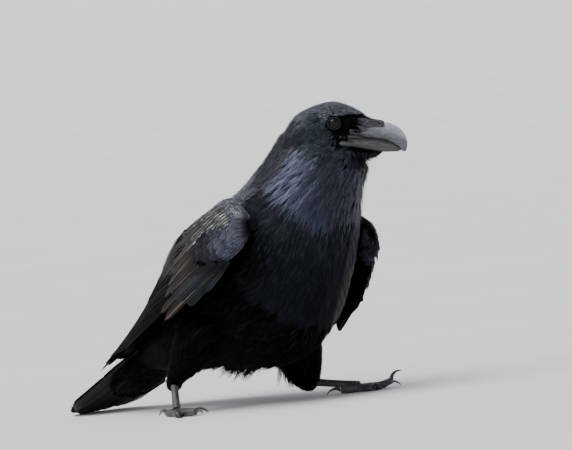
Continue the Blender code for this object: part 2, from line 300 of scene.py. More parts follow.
# ---------------- kinds of body feather (millimetres)
# Spacing of the roots, length, half width, depth of the coat, lift of the tip, stray of the lie in degrees,
# outline, number of strands (0 is a fine and 1 a coarse whole vane) and finish.
Coat = namedtuple("Coat", "spacing length half depth lift stray outline strands finish")
COATS = {
    "bristle": Coat(0.95, 13, 0.5, 1.0, 0.7, 7, "pointed", 1, "bristle"),
    "lore": Coat(1.2, 5, 0.9, 1.0, 0.2, 8, "pointed", 1, "jet"),
    "crown": Coat(1.3, 6.5, 1.15, 1.3, 0.25, 6, "round", 3, "crown"),
    "cheek": Coat(1.7, 8, 1.5, 1.8, 0.2, 6, "round", 3, "cheek"),
    "nape": Coat(2.3, 15, 2.0, 3.0, 0.5, 8, "pointed", 3, "nape"),
    "beard": Coat(1.9, 15, 1.1, 2.0, 5.5, 14, "pointed", 3, "beard"),
    "throat": Coat(2.8, 27, 1.8, 4.0, 2.6, 10, "pointed", 3, "throat"),
    "hackle": Coat(2.9, 29, 1.9, 4.0, 1.8, 9, "pointed", 3, "hackle"),
    "brow": Coat(1.3, 9, 1.2, 1.3, 1.9, 5, "round", 3, "crown"),
    "mantle": Coat(3.0, 13, 2.8, 3.0, 1.1, 7, "round", 5, "mantle"),
    "rump": Coat(5.0, 36, 6.5, 6.0, 0.6, 6, "round", 7, "black"),
    "breast": Coat(3.6, 25, 3.6, 5.0, 0.7, 7, "round", 5, "breast"),
    "belly": Coat(4.4, 36, 4.6, 7.0, 0.6, 9, "round", 7, "black"),
    "tuft": Coat(4.4, 42, 6.5, 7.0, 23.0, 12, "round", 5, "black"),
    "vent": Coat(5.0, 40, 6.0, 6.0, 1.6, 8, "round", 7, "vent"),
    "thigh": Coat(3.2, 21, 3.0, 4.0, 0.8, 8, "round", 5, "black"),
    "lesser": Coat(5.0, 22, 5.4, 1.5, 1.3, 2.5, "round", 0, "covert"),
    "marginal": Coat(3.4, 13, 3.2, 1.5, 0.5, 4, "round", 3, "covert"),
    "lining": Coat(5.5, 26, 5.5, 2.0, 0.2, 4, "round", 5, "black"),
}

# Trunk and neck, tail root to head base; then the coats of its back, flank, front and underside.
Station = namedtuple("Station", "forward left up half top bottom pitch yaw roll back flank front under")
STATIONS = [
    Station(-190, -3, 50, 20, 10, 14, 22, 0, 9, "rump", "rump", "vent", "vent"),
    Station(-140, -1, 72, 33, 20, 32, 24, 0, 9, "rump", "rump", "vent", "vent"),
    Station(-100, 0, 90, 48, 42, 53, 25, 0, 9, "rump", "rump", "vent", "vent"),
    Station(-50, 2, 112, 58, 62, 76, 26, 0, 9, "rump", "belly", "belly", "belly"),
    Station(5, 5, 136, 64, 74, 111, 27, 0, 9, "mantle", "belly", "belly", "belly"),
    Station(52, 10, 160, 67, 74, 120, 34, 0, 8, "mantle", "breast", "belly", "belly"),
    Station(88, 16, 188, 65, 66, 87, 46, 0, 6, "mantle", "breast", "breast", "breast"),
    Station(109, 22, 216, 56, 60, 65, 56, 8, 3, "mantle", "breast", "breast", "breast"),
    Station(123, 30, 242, 46, 54, 55, 60, 18, 0, "nape", "hackle", "hackle", "throat"),
    Station(131, 36, 263, 38, 47, 53, 62, 28, 0, "nape", "hackle", "throat", "throat"),
    Station(136, 39, 275, 25, 34, 31, 62, 38, 0, "nape", "cheek", "throat", "throat"),
]
# Head, in its own words: place, lie and coat.  Each also stands on the other side.
HEAD_GUIDES = [
    (49, 5, 6, 1, 0, -0.30, "bristle"), (40, 7, 8, 1, 0, -0.20, "bristle"),
    (36, 10, 4, 1, -0.1, -0.20, "bristle"), (32, 12, -1, 1, -0.1, -0.10, "bristle"),
    (24, 13, 4, 1, -0.1, -0.15, "bristle"), (25, 13, -4, 1, -0.1, -0.15, "bristle"),
    (30, 9, 8, 1, -0.1, -0.15, "bristle"), (30, 11, 10.3, 1, 0, -0.1, "lore"),
    (31, 11, 8.5, 1, -0.1, -0.15, "bristle"), (37, 8, 10, 1, 0, -0.2, "bristle"),
    (43, 3, 10, 1, 0, -0.25, "bristle"), (18, 15, 5, 1, 0, -0.1, "lore"),
    (18, 16, -3, 1, 0, -0.2, "lore"), (24, 3, 17, -1, 0, 0.25, "brow"),
    (30, 5, 14, -1, 0, 0.25, "brow"), (36, 3, 12.6, -1, 0, 0.3, "brow"),
    (15, 9, 18, -1, 0.1, 0.15, "crown"), (20, 11, 14, -1, 0.1, 0.15, "crown"),
    (26, 9, 14, -1, 0.1, 0.2, "brow"), (12, 17, 4, 1, -0.1, -0.1, "lore"),
    (10, 16, 11, -1, 0.1, 0.1, "crown"), (16, 14, 13, -1, 0.1, 0.15, "crown"),
    (20, 16, -7, 0.9, 0, -0.3, "lore"), (12, 19, -4, 0.6, 0.1, -0.7, "lore"),
    (12, 18, -14, -0.4, 0, -0.9, "lore"), (8, 10, 21, -1, 0.15, 0, "crown"),
    (-12, 10, 20, -1, 0.1, -0.2, "crown"), (-30, 10, 13, -0.8, 0, -0.6, "crown"),
    (-2, 20, 10, -1, 0.1, -0.1, "crown"), (-18, 24, 4, -1, 0, -0.4, "cheek"),
    (-14, 25, -10, -0.9, 0, -0.6, "cheek"), (2, 22, -14, -0.8, 0, -0.6, "cheek"),
    (14, 17, -20, -0.6, 0, -0.8, "cheek"), (30, 9, -27, -0.5, 0, -0.9, "beard"),
    (46, 3, -29, -0.5, 0, -0.9, "beard"), (18, 5, -33, -0.4, 0, -0.95, "beard"),
    (-4, 18, -34, -0.5, 0, -0.9, "throat"), (-12, 34, -66, -0.4, 0, -0.9, "hackle"),
    (-2, 36, -80, -0.3, 0, -0.95, "hackle"), (-56, 12, -42, -0.5, 0, -0.9, "nape"),
    (13, 18, -9, 0.95, 0, -0.25, "lore"), (8, 15, -30, -0.5, 0, -0.9, "throat"),
    (-16, 24, -24, -0.8, 0, -0.7, "cheek"), (-40, 8, -2, -0.5, 0, -0.9, "nape"),
    (-30, 22, -10, -0.6, 0, -0.8, "nape"),
]
LEGS = {
    "right": ((5, -38, 95), (-14, -54, 74), (-57, -60, 36)),
    "left": ((20, 42, 85), (20, 54, 50), (9, 65, 15.4)),
}
TUFTS = [(18, 34, 50), (10, 26, 49), (2, 18, 48), (-4, 10, 48)]   # loose feathers between the legs
Guide = namedtuple("Guide", "place lie coat")


def coat_sizes(coat):
    kind = COATS[coat]
    return np.array((kind.length, kind.half, kind.depth, kind.lift)) * MM


def trunk_guides():
    """Guides at the back, flanks and front of each station; feathers run to the station behind."""
    rings = []
    for station in STATIONS:
        left, up = turned(station.pitch, station.yaw, station.roll)
        centre = on_bird(station.forward, station.left, station.up)
        top, bottom = up * station.top * MM, -up * station.bottom * MM
        side = left * station.half * MM
        rings.append([
            (centre + top, station.back),
            (centre + side, station.flank), (centre - side, station.flank),
            (centre + bottom, station.under),
            (centre + 0.7 * (top + side), station.back), (centre + 0.7 * (top - side), station.back),
            (centre + 0.7 * (bottom + side), station.under), (centre + 0.7 * (bottom - side), station.under),
            (centre + 0.93 * side + 0.37 * bottom, station.front),
            (centre - 0.93 * side + 0.37 * bottom, station.front),
        ])
    guides = []
    for index, ring in enumerate(rings):
        behind = rings[max(index - 1, 0)]
        ahead = ring if index else rings[1]
        for (place, coat), (start, _), (end, _) in zip(ring, ahead, behind):
            guides.append(Guide(place, unit(end - start), coat))
    return guides


def head_guides():
    return [
        Guide(on_head(x, sign * y, z), unit(head_run(ahead, sign * out, up)), coat)
        for x, y, z, ahead, out, up, coat in HEAD_GUIDES
        for sign in SIDES.values()
    ]


def leg_guides():
    guides = []
    for side, joints in LEGS.items():
        spots = [on_bird(*joint) for joint in joints]
        out = bird(0, SIDES[side], 0) / MM
        for start, end in zip(spots, spots[1:]):
            run = unit(end - start)
            for share in (0.35, 0.75, 1.0):
                for away in (out, -out):
                    spot = start + (end - start) * share + away * 16 * MM * (1.3 - share)
                    guides.append(Guide(spot, run, "thigh"))
    for forward, left, up in TUFTS:
        guides.append(Guide(on_bird(forward, left, up), unit(bird(-0.6, 0, -0.8)), "tuft"))
    return guides


# ---------------- feather outlines
Template = namedtuple("Template", "along across quads")


def outline(shape, along):
    """Half width, as a share of the widest, at a share of the length."""
    base = np.clip(0.45 + along * 1.8, 0, 1)
    if shape == "pointed":
        return base * (1 - np.clip((along - 0.3) / 0.7, 0, 1) ** 1.7 * 0.97)
    if shape == "blade":
        return base * np.sqrt(1 - 0.99 * np.clip((along - 0.86) / 0.14, 0, 1) ** 2.4)
    return base * np.sqrt(1 - 0.99 * np.clip((along - 0.55) / 0.45, 0, 1) ** 2.2)


def sheet_template(shape, rows, columns):
    """One whole vane."""
    along = 1 - (1 - np.linspace(0, 1, rows + 1)) ** 1.4
    across = np.linspace(-1, 1, columns + 1)
    s, a = np.meshgrid(along, across, indexing="ij")
    return Template(s.ravel(), (a * outline(shape, s)).ravel(), grid_quads(*s.shape))


def strand_template(shape, strands, rows, draw):
    """A vane of loose strands, each with its own tip on the outline."""
    along, across, quads = [], [], []
    trial = np.linspace(0, 1, 201)
    for strand in range(strands):
        lane = -1 + (2 * strand + 1) / strands
        inside = trial[outline(shape, trial) >= min(abs(lane) * 0.97, 0.97)]
        reach = min(1.0, inside.max() * draw.uniform(0.9, 1.04))
        s = np.linspace(0, 1, rows + 1) * reach
        ease = np.clip((s / reach - 0.45) / 0.55, 0, 1)
        half = (1.12 - 0.95 * ease ** 1.5) / strands
        spread = np.clip(0.45 + s * 1.8, 0, 1) * (1 + 0.1 * s ** 2)
        bend = lane * spread + draw.normal(0, 0.05) * s ** 2
        first = sum(len(part) for part in along)
        along.append(np.repeat(s, 2))
        across.append(np.stack((bend - half * spread, bend + half * spread), 1).ravel())
        low = first + 2 * np.arange(rows)
        quads.append(np.stack((low, low + 2, low + 3, low + 1), 1))
    return Template(np.concatenate(along), np.concatenate(across), np.concatenate(quads))


def templates(coat):
    draw = np.random.default_rng(3)
    if coat.strands < 2:
        return [sheet_template(coat.outline, 4, 2) if coat.strands else sheet_template(coat.outline, 8, 8)]
    rows = 4 if coat.strands < 5 else 5
    return [strand_template(coat.outline, coat.strands, rows, draw) for _ in range(5)]


# ---------------- laying feathers
Batch = namedtuple("Batch", "points quads vane patch tint")


def lay(template, paths, normals, half, camber=0.12, skew=0.0):
    """One feather of a template along each path; half is its half width."""
    knots = paths.shape[1]
    runs = unit(np.gradient(paths, axis=1))
    sides = unit(np.cross(normals, runs))
    place = template.along * (knots - 1)
    low = np.minimum(place.astype(int), knots - 2)
    share = (place - low)[None, :, None]

    def between(values):
        return values[:, low] * (1 - share) + values[:, low + 1] * share
    across = template.across * (1 + skew * np.sign(template.across))
    width = across[None, :, None] * half[:, None, None]
    ridge = 0.05 * (np.abs(template.across) < 0.01)
    drop = ridge - camber * np.abs(template.across) ** 1.6
    rise = between(normals) * drop[None, :, None] * half[:, None, None]
    return between(paths) + between(sides) * width + rise


def batch(template, points, roots, tint):
    """Joins the feathers of one template, with their maps and shades."""
    count, size = points.shape[:2]
    quads = (template.quads[None] + np.arange(count)[:, None, None] * size).reshape(-1, 4)
    vane = np.stack((template.across * 0.5 + 0.5, template.along), 1)
    patch = roots[:, None] + (vane[None] - 0.5) * BAKE_PATCH
    return Batch(
        points.reshape(-1, 3), quads, np.broadcast_to(vane, (count, size, 2)).reshape(-1, 2),
        patch.reshape(-1, 2), np.broadcast_to(tint.reshape(count, -1), (count, size)).ravel())


def feather_piece(name, batches, finish, slot):
    """One mesh of many feathers, kept off the floor."""
    quads, count = [], 0
    for one in batches:
        quads.append(one.quads + count)
        count += len(one.points)
    points = np.concatenate([one.points for one in batches])
    points[:, 2] = np.maximum(points[:, 2], FLOOR_GAP * MM)
    piece = mesh_object(name, points, np.concatenate(quads))
    add_map(piece, "OFBake", np.concatenate([one.patch for one in batches]))
    add_map(piece, "vane", np.concatenate([one.vane for one in batches]))
    shade = piece.data.attributes.new("tint", "FLOAT", "POINT")
    shade.data.foreach_set("value", np.concatenate([one.tint for one in batches]).astype(np.float32))
    dress(piece, slot, feather_finish(finish))


def unrolled(places, line):
    """Places round a line, unrolled: turn about it, and how far along it."""
    line = np.asarray(line)
    best = np.full(len(places), np.inf)
    result = np.zeros((len(places), 2))
    reached = 0.0
    for start, end in zip(line, line[1:]):
        run = end - start
        length = np.linalg.norm(run)
        share = np.clip((places - start) @ run / length ** 2, 0, 1)
        away = places - start - share[:, None] * run
        gap = np.linalg.norm(away, axis=1)
        rise = unit(UP - run * (UP @ run) / length ** 2)
        left = np.cross(rise, run / length)
        turn = np.arctan2(away @ left, -(away @ rise)) / (2 * math.pi) + 0.5
        closer = gap < best
        best[closer] = gap[closer]
        result[closer, 0] = turn[closer]
        result[closer, 1] = reached + share[closer] * length
        reached += length
    return result


def filled(uv):
    """A map stretched to fill its square."""
    low, high = uv.min(0), uv.max(0)
    return 0.02 + 0.96 * (uv - low) / np.maximum(high - low, 1e-6)


# ---------------- combing a surface
class Comb:
    """The lie of the coat on a surface, and which coat grows where."""

    BLEND = 4 * MM           # how widely the guides run into each other
    HEAD_ON = 0.35           # no roots where the guides' lies nearly cancel
    RAGGED = 0.12            # how ragged the borders between coats are

    def __init__(self, surface, guides):
        self.surface = surface
        self.names = sorted({guide.coat for guide in guides})
        places = np.array([guide.place for guide in guides])
        lies = np.array([guide.lie for guide in guides])
        sizes = np.array([coat_sizes(guide.coat) for guide in guides])
        kinds = np.array([self.names.index(guide.coat) for guide in guides])
        gaps = ((surface.points[:, None] - places[None]) ** 2).sum(2)
        share = 1 / (gaps + self.BLEND ** 2) ** 2
        share /= share.sum(1, keepdims=True)
        lie = along_surface(share @ lies, surface.normals)
        self.rooted = np.linalg.norm(lie, axis=1) > self.HEAD_ON
        self.lie = unit(lie)
        self.sizes = share @ sizes
        votes = np.stack([share[:, kinds == kind].sum(1) for kind in range(len(self.names))], 1)
        self.kind = (votes + np.random.default_rng(5).uniform(0, self.RAGGED, votes.shape)).argmax(1)

    def scatter(self, coat, allowed):
        """Roots of one coat, no two nearer than its spacing."""
        corners = self.surface.triangles
        wanted = self.kind[corners[:, 0]] == self.names.index(coat)
        wanted &= (allowed & self.rooted)[corners].all(1)
        if not wanted.any():
            return np.zeros((0, 3))
        a, b, c = corner_points(self.surface.points, corners[wanted])
        area = np.linalg.norm(np.cross(b - a, c - a), axis=1) / 2
        gap = COATS[coat].spacing * MM
        tries = int(area.sum() / gap ** 2 * 5) + 1
        pick = rng.choice(len(area), tries, p=area / area.sum())
        first = np.sqrt(rng.uniform(size=(tries, 1)))
        second = rng.uniform(size=(tries, 1))
        places = a[pick] * (1 - first) + b[pick] * first * (1 - second) + c[pick] * first * second
        return spaced(places, gap)

    def grow(self, roots, coat, knots=6):
        """Paths of the feathers over the surface, with their normals and half widths."""
        count = len(roots)
        turn = rng.normal(0, math.radians(COATS[coat].stray), count)[:, None]
        size = rng.uniform(0.85, 1.15, (count, 1))
        jitter = rng.uniform(0, 1, (count, 1))
        _, read = self.surface.nearest(roots)
        length, half, depth, lift = (column[:, None] for column in read(self.sizes).T)
        place = roots
        paths, normals = [], []
        for share in np.arange(knots) / (knots - 1):
            found, read = self.surface.nearest(place)
            normal = unit(read(self.surface.normals))
            lie = unit(along_surface(read(self.lie), normal))
            lie = lie * np.cos(turn) + np.cross(normal, lie) * np.sin(turn)
            height = -depth * (1 - share) ** 1.4 + (lift * jitter + LOOSE_LIFT * jitter) * share ** 1.5
            paths.append(found + normal * height)
            normals.append(normal)
            place = found + lie * length * size / (knots - 1)
        return np.stack(paths, 1), np.stack(normals, 1), half[:, 0] * size[:, 0]


def spaced(places, gap):
    """Those places, in order, that keep the gap from all kept before."""
    cells = {}
    kept = []
    around = list(itertools.product((-1, 0, 1), repeat=3))
    spots = places.tolist()
    for index, (x, y, z) in enumerate(np.floor(places / gap).astype(int).tolist()):
        near = (spot for i, j, k in around for spot in cells.get((x + i, y + j, z + k), ()))
        if all(math.dist(spots[index], spot) >= gap for spot in near):
            cells.setdefault((x, y, z), []).append(spots[index])
            kept.append(index)
    return places[kept]


def coat_batches(comb, coat, allowed, keep, line, shade):
    """Feathers of one coat where it is allowed; keep says which paths show."""
    roots = comb.scatter(coat, allowed)
    paths, normals, half = comb.grow(roots, coat)
    shown = keep(paths, normals)
    roots, paths, normals, half = roots[shown], paths[shown], normals[shown], half[shown]
    where = filled(unrolled(roots, line))
    tint = rng.uniform(size=len(roots))
    # Painted shade by place, over each feather's own random tone.
    if shade:
        tint = np.clip(0.4 * tint + shade(roots), 0, 1)
    kinds = templates(COATS[coat])
    choice = rng.integers(0, len(kinds), len(roots))
    batches = []
    for index, template in enumerate(kinds):
        mine = choice == index
        if mine.any():
            points = lay(template, paths[mine], normals[mine], half[mine])
            batches.append(batch(template, points, where[mine], tint[mine]))
    return batches


def grow_coats(prefix, comb, allowed, keep, line, shades):
    """A piece for each coat of a surface; shades gives each coat's painted shade by place, or nothing."""
    for coat in comb.names:
        batches = coat_batches(comb, coat, allowed, keep, line, shades(coat))
        feather_piece(prefix + coat, batches, COATS[coat].finish, "plumage")


# ---------------- shader groups and finishes
def feed(tree, value, socket):
    """Gives a socket its number or colour, or joins it to another node's output."""
    if isinstance(value, (int, float)):
        socket.default_value = value
    elif isinstance(value, tuple):
        socket.default_value = (*value, 1.0)
    else:
        tree.links.new(value, socket)


def math_node(tree, operation, *values):
    node = tree.nodes.new("ShaderNodeMath")
    node.operation = operation
    for socket, value in zip(node.inputs, values):
        feed(tree, value, socket)
    return node.outputs[0]


def ramp_node(tree, value, low, high, bottom=0.0, top=1.0):
    """A soft step from bottom to top as the value goes from low to high."""
    node = tree.nodes.new("ShaderNodeMapRange")
    node.interpolation_type = "SMOOTHSTEP"
    labels = ("Value", "From Min", "From Max", "To Min", "To Max")
    for label, number in zip(labels, (value, low, high, bottom, top)):
        feed(tree, number, node.inputs[label])
    return node.outputs["Result"]


def mix_node(tree, share, first, second, blend="MIX"):
    node = tree.nodes.new("ShaderNodeMix")
    node.data_type = "RGBA"
    node.blend_type = blend
    for socket, value in ((node.inputs[0], share), (node.inputs[6], first), (node.inputs[7], second)):
        feed(tree, value, socket)
    return node.outputs[2]


def product(tree, first, second):
    return math_node(tree, "MULTIPLY", first, second)


def noise_node(tree, scale, detail=3.0, coordinates=None):
    node = tree.nodes.new("ShaderNodeTexNoise")
    node.inputs["Scale"].default_value = scale
    node.inputs["Detail"].default_value = detail
    if coordinates is None:
        coordinates = tree.nodes.new("ShaderNodeTexCoord").outputs["Object"]
    feed(tree, coordinates, node.inputs["Vector"])
    return node.outputs["Fac"]


def blotches(tree, scale, low, high, first, second):
    """Two colours in blotches of noise; the second shows where the noise is high."""
    return mix_node(tree, ramp_node(tree, noise_node(tree, scale), low, high), first, second)


def map_node(tree, name):
    node = tree.nodes.new("ShaderNodeUVMap")
    node.uv_map = name
    return node.outputs["UV"]


def map_parts(tree, name):
    """The two values of a map."""
    parts = tree.nodes.new("ShaderNodeSeparateXYZ")
    feed(tree, map_node(tree, name), parts.inputs[0])
    return parts.outputs["X"], parts.outputs["Y"]


def add_bump(tree, shader, height, strength, distance):
    """Raises the surface by a value, or sinks it if the distance, in millimetres, is negative."""
    bump = tree.nodes.new("ShaderNodeBump")
    bump.invert = distance < 0
    bump.inputs["Strength"].default_value = strength
    bump.inputs["Distance"].default_value = abs(distance) * MM
    feed(tree, height, bump.inputs["Height"])
    feed(tree, bump.outputs["Normal"], shader.inputs["Normal"])


def new_group(name, inputs, outputs):
    """A shader node group, with its input and output sockets by name."""
    group = bpy.data.node_groups.new(name, "ShaderNodeTree")
    for label, value in inputs.items():
        kind = "NodeSocketColor" if isinstance(value, tuple) else "NodeSocketFloat"
        socket = group.interface.new_socket(label, in_out="INPUT", socket_type=kind)
        feed(group, value, socket)
    for label in outputs:
        kind = "NodeSocketColor" if label == "Colour" else "NodeSocketFloat"
        group.interface.new_socket(label, in_out="OUTPUT", socket_type=kind)
    start = group.nodes.new("NodeGroupInput")
    end = group.nodes.new("NodeGroupOutput")
    return group, start.outputs, end.inputs


def vane_group():
    """Marks of a single vane: edge, shaft, barbs, its tone and painted shade, and painted shade at its hidden
    base.
    """
    group, given, put = new_group(
        "vane_marks", {"Edge Start": 0.6, "Shaft Width": 0.05, "Barbs": 30.0, "Tip": 1.0},
        ("Edge", "Shaft", "Barb", "Shade", "Painted Root Shade"))
    side, along = map_parts(group, "vane")
    across = math_node(group, "ABSOLUTE", math_node(group, "MULTIPLY_ADD", side, 2.0, -1.0))
    tip = product(group, ramp_node(group, along, 0.75, 1.0), given["Tip"])
    rim = math_node(group, "MAXIMUM", across, tip)
    feed(group, ramp_node(group, rim, given["Edge Start"], 1.0), put["Edge"])
    # Painted shade: each vane darkens towards its root, where the feathers lying over it would shade it.
    feed(group, ramp_node(group, along, 0.10, 0.65, 0.12, 1.0), put["Painted Root Shade"])
    feed(group, ramp_node(group, across, 0.0, given["Shaft Width"], 1.0, 0.0), put["Shaft"])
    slant = math_node(group, "SUBTRACT", along, product(group, across, 0.2))
    phase = product(group, product(group, slant, given["Barbs"]), 2 * math.pi)
    feed(group, math_node(group, "MULTIPLY_ADD", math_node(group, "SINE", phase), 0.5, 0.5), put["Barb"])
    tint = group.nodes.new("ShaderNodeAttribute")
    tint.attribute_name = "tint"
    feed(group, tint.outputs["Fac"], put["Shade"])
    return group


def markings_group():
    """Slow changes of the plumage over the whole bird, shared by skin and coat."""
    group, given, put = new_group(
        "plumage_markings", {"Colour": (0.01, 0.01, 0.012), "Warm": (0.012, 0.010, 0.009)}, ("Colour",))
    feed(group, blotches(group, 22.0, 0.42, 0.66, given["Colour"], given["Warm"]), put["Colour"])
    return group


GROUPS = {"vane": vane_group(), "markings": markings_group()}


def placed(tree, group, **values):
    node = tree.nodes.new("ShaderNodeGroup")
    node.node_tree = GROUPS[group]
    for label, value in values.items():
        feed(tree, value, node.inputs[label.replace("_", " ")])
    return node.outputs


# Core, warm patches, edge and shaft colours in thousandths; edge strength; roughness; gloss, as the index of
# refraction less one; sheen weight; sheen and gloss tints in hundredths.
Finish = namedtuple("Finish", "core warm edge shaft edging rough gloss sheen sheen_tint gloss_tint")
# The pale cores and edges of crown, hackle, mantle, scapular and covert feathers are partly their own colour
# and partly painted sheen.
FINISHES = {
    "jet": Finish((3, 3, 4), (4, 4, 4), (6, 6, 7), (3, 3, 3),
                  0.4, 0.6, 0.08, 0.0, (50, 55, 70), (80, 85, 100)),
    "bristle": Finish((20, 20, 23), (30, 30, 33), (280, 285, 300), (200, 205, 220),
                      0.8, 0.42, 0.45, 0.05, (60, 65, 75), (85, 90, 100)),
    "crown": Finish((22, 24, 30), (30, 30, 34), (270, 285, 335), (12, 12, 14),
                    0.8, 0.4, 0.5, 0.15, (55, 60, 80), (75, 80, 100)),
    "cheek": Finish((12, 15, 18), (14, 17, 19), (60, 74, 88), (6, 6, 8),
                    0.7, 0.45, 0.35, 0.05, (50, 65, 80), (70, 85, 100)),
    "nape": Finish((9, 10, 12), (11, 11, 12), (42, 45, 53), (6, 6, 7),
                   0.8, 0.45, 0.4, 0.06, (55, 60, 75), (75, 82, 100)),
    "beard": Finish((5, 5, 6), (6, 6, 7), (22, 23, 27), (5, 5, 6),
                    0.7, 0.45, 0.3, 0.02, (50, 55, 80), (70, 75, 100)),
    "throat": Finish((9, 10, 14), (7, 7, 9), (60, 64, 82), (7, 7, 10),
                     0.9, 0.38, 0.5, 0.1, (50, 55, 85), (65, 70, 100)),
    "hackle": Finish((30, 32, 52), (22, 23, 34), (115, 122, 185), (12, 12, 20),
                     0.8, 0.36, 0.6, 0.2, (50, 52, 95), (60, 65, 100)),
    "mantle": Finish((20, 21, 26), (20, 19, 20), (200, 206, 240), (10, 10, 12),
                     0.95, 0.4, 0.5, 0.2, (70, 75, 90), (80, 85, 100)),
    "breast": Finish((8, 9.5, 11), (4, 5, 6), (30, 36, 44), (4, 4, 5),
                     0.7, 0.45, 0.2, 0.03, (45, 60, 80), (65, 80, 100)),
    "black": Finish((1, 1, 1.2), (1.2, 1.2, 1.2), (10, 11, 12), (2, 2, 2),
                    0.6, 0.6, 0.09, 0.0, (50, 55, 65), (85, 90, 100)),
    "vent": Finish((3, 3, 3.2), (3.6, 3.4, 3.4), (28, 29, 33), (4, 4, 4),
                   0.8, 0.45, 0.08, 0.0, (50, 55, 65), (85, 90, 100)),
    "covert": Finish((26, 28, 40), (22, 22, 28), (50, 54, 72), (60, 62, 72),
                     0.6, 0.38, 0.15, 0.05, (55, 60, 90), (70, 75, 100)),
    "scapular": Finish((11, 11, 11), (22, 20, 19), (320, 318, 330), (12, 11, 11),
                       1.0, 0.4, 0.12, 0.04, (70, 72, 80), (90, 92, 100)),
    "worn": Finish((6.5, 5, 4.2), (13, 8.8, 7.4), (38, 28, 23), (340, 270, 210),
                   0.7, 0.5, 0.15, 0.05, (80, 65, 55), (100, 92, 85)),
    "slate": Finish((18, 22, 26), (12, 13, 15), (48, 56, 64), (20, 20, 22),
                    0.7, 0.4, 0.1, 0.04, (55, 70, 80), (75, 90, 100)),
    "secondary": Finish((2.8, 2.4, 2.2), (5, 4, 3.6), (30, 24, 20), (40, 33, 28),
                        0.85, 0.55, 0.06, 0.0, (70, 65, 60), (100, 95, 90)),
    "flight": Finish((2.5, 2.3, 2.2), (4, 3.4, 3.1), (20, 17, 15), (22, 18, 16),
                     0.8, 0.55, 0.06, 0.0, (60, 60, 65), (90, 92, 100)),
    "tail": Finish((11, 11, 11), (12, 10, 9), (52, 44, 39), (24, 21, 19),
                   0.8, 0.42, 0.3, 0.03, (60, 60, 70), (90, 92, 100)),
}
LONG_VANES = ("flight", "secondary", "tail", "worn", "slate")
PLAIN_TIPS = ("hackle", "throat", "nape", "breast")
EDGE_STARTS = {"mantle": 0.62, **dict.fromkeys(LONG_VANES, 0.9)}     # where the edge's colour sets in
# The wide ranges of scapulars and coverts carry painted sheen on the palest and painted shade on the darkest.
SHADE_RANGES = {"scapular": (0.03, 4.0), "covert": (0.05, 2.2)}      # of the darkest and the palest feather


def tone(colour, parts=1000):
    """A colour given in thousandths, or in other parts of one."""
    return tuple(part / parts for part in colour)


def principled(name, **settings):
    """A material, its tree and its shader, with numbers for the shader's own sockets."""
    material = bpy.data.materials.new(name)
    material.use_nodes = True
    shader = material.node_tree.nodes["Principled BSDF"]
    for label, value in settings.items():
        feed(material.node_tree, value, shader.inputs[label.replace("_", " ")])
    return material, material.node_tree, shader


def feather_finish(name):
    """The material of one kind of feather."""
    known = bpy.data.materials.get("feather_" + name)
    if known:
        return known
    finish = FINISHES[name]
    material, tree, shader = principled(
        "feather_" + name, Roughness=finish.rough, IOR=1 + finish.gloss,
        Specular_Tint=tone(finish.gloss_tint, 100), Sheen_Weight=finish.sheen, Sheen_Roughness=0.4,
        Sheen_Tint=tone(finish.sheen_tint, 100))
    vane = placed(
        tree, "vane", Edge_Start=EDGE_STARTS.get(name, 0.45), Tip=0.4 if name in PLAIN_TIPS else 1.0,
        Shaft_Width=0.11 if name == "worn" else 0.06, Barbs=80.0 if name in LONG_VANES else 24.0)
    marks = placed(tree, "markings", Colour=tone(finish.core), Warm=tone(finish.warm))
    edging = product(tree, vane["Edge"], finish.edging)
    edged = mix_node(tree, edging, marks["Colour"], tone(finish.edge))
    shafted = mix_node(tree, product(tree, vane["Shaft"], 0.8), edged, tone(finish.shaft))
    # Brightness: the feather's tone with any painted shade by place, times the painted shade at its root.
    shade = ramp_node(tree, vane["Shade"], 0.0, 1.0, *SHADE_RANGES.get(name, (0.25, 1.6)))
    bright = product(tree, shade, vane["Painted Root Shade"])
    grey = tree.nodes.new("ShaderNodeCombineColor")
    for socket in grey.inputs:
        feed(tree, bright, socket)
    feed(tree, mix_node(tree, 1.0, shafted, grey.outputs[0], "MULTIPLY"), shader.inputs["Base Color"])
    rough = ramp_node(tree, vane["Barb"], 0.0, 1.0, finish.rough - 0.06, finish.rough + 0.1)
    feed(tree, rough, shader.inputs["Roughness"])
    add_bump(tree, shader, vane["Barb"], 0.12, 0.3)
    return material


def skin_finish():
    material, tree, shader = principled("skin", Roughness=0.7, IOR=1.1)
    black = FINISHES["black"]
    marks = placed(tree, "markings", Colour=tone(black.core), Warm=tone(black.warm))
    feed(tree, marks["Colour"], shader.inputs["Base Color"])
    add_bump(tree, shader, noise_node(tree, 900.0), 0.4, 0.5)
    return material


# ---------------- camera, floor, light
CAMERA_AZIMUTH = math.radians(-36)
CAMERA_RISE = math.radians(2)
CAMERA_ROLL = math.radians(7.5)
CAMERA_DISTANCE = 6.5
CAMERA_SHIFT = (0.0574, 0.1847)      # from the origin of the bird's places to the middle of the view
LENS = 386.4
FLOOR_RADII = np.array((0.4, 4, 12, 14, 16, 18, 20, 23, 26, 30, 34))
FLOOR_SIDES = 72
FLOOR_LEVEL = 12                     # radius within which the floor is level
FLOOR_COLOURS = ((0.70, 0.695, 0.69), (0.73, 0.725, 0.72))
SKY = (0.90, 0.94, 1.0, 1)
SKY_STRENGTH = 0.48
SOFTNESS = 50                        # width of the lights as seen from the bird, in degrees


def set_up(name, data, axes, place=(0, 0, 0)):
    """Puts a camera or a light in the scene by its right, up and back axes."""
    thing = bpy.data.objects.new(name, data)
    bpy.context.scene.collection.objects.link(thing)
    matrix = np.eye(4)
    matrix[:3, :3] = np.array(axes).T
    matrix[:3, 3] = place
    thing.matrix_world = Matrix(matrix.tolist())
    return thing


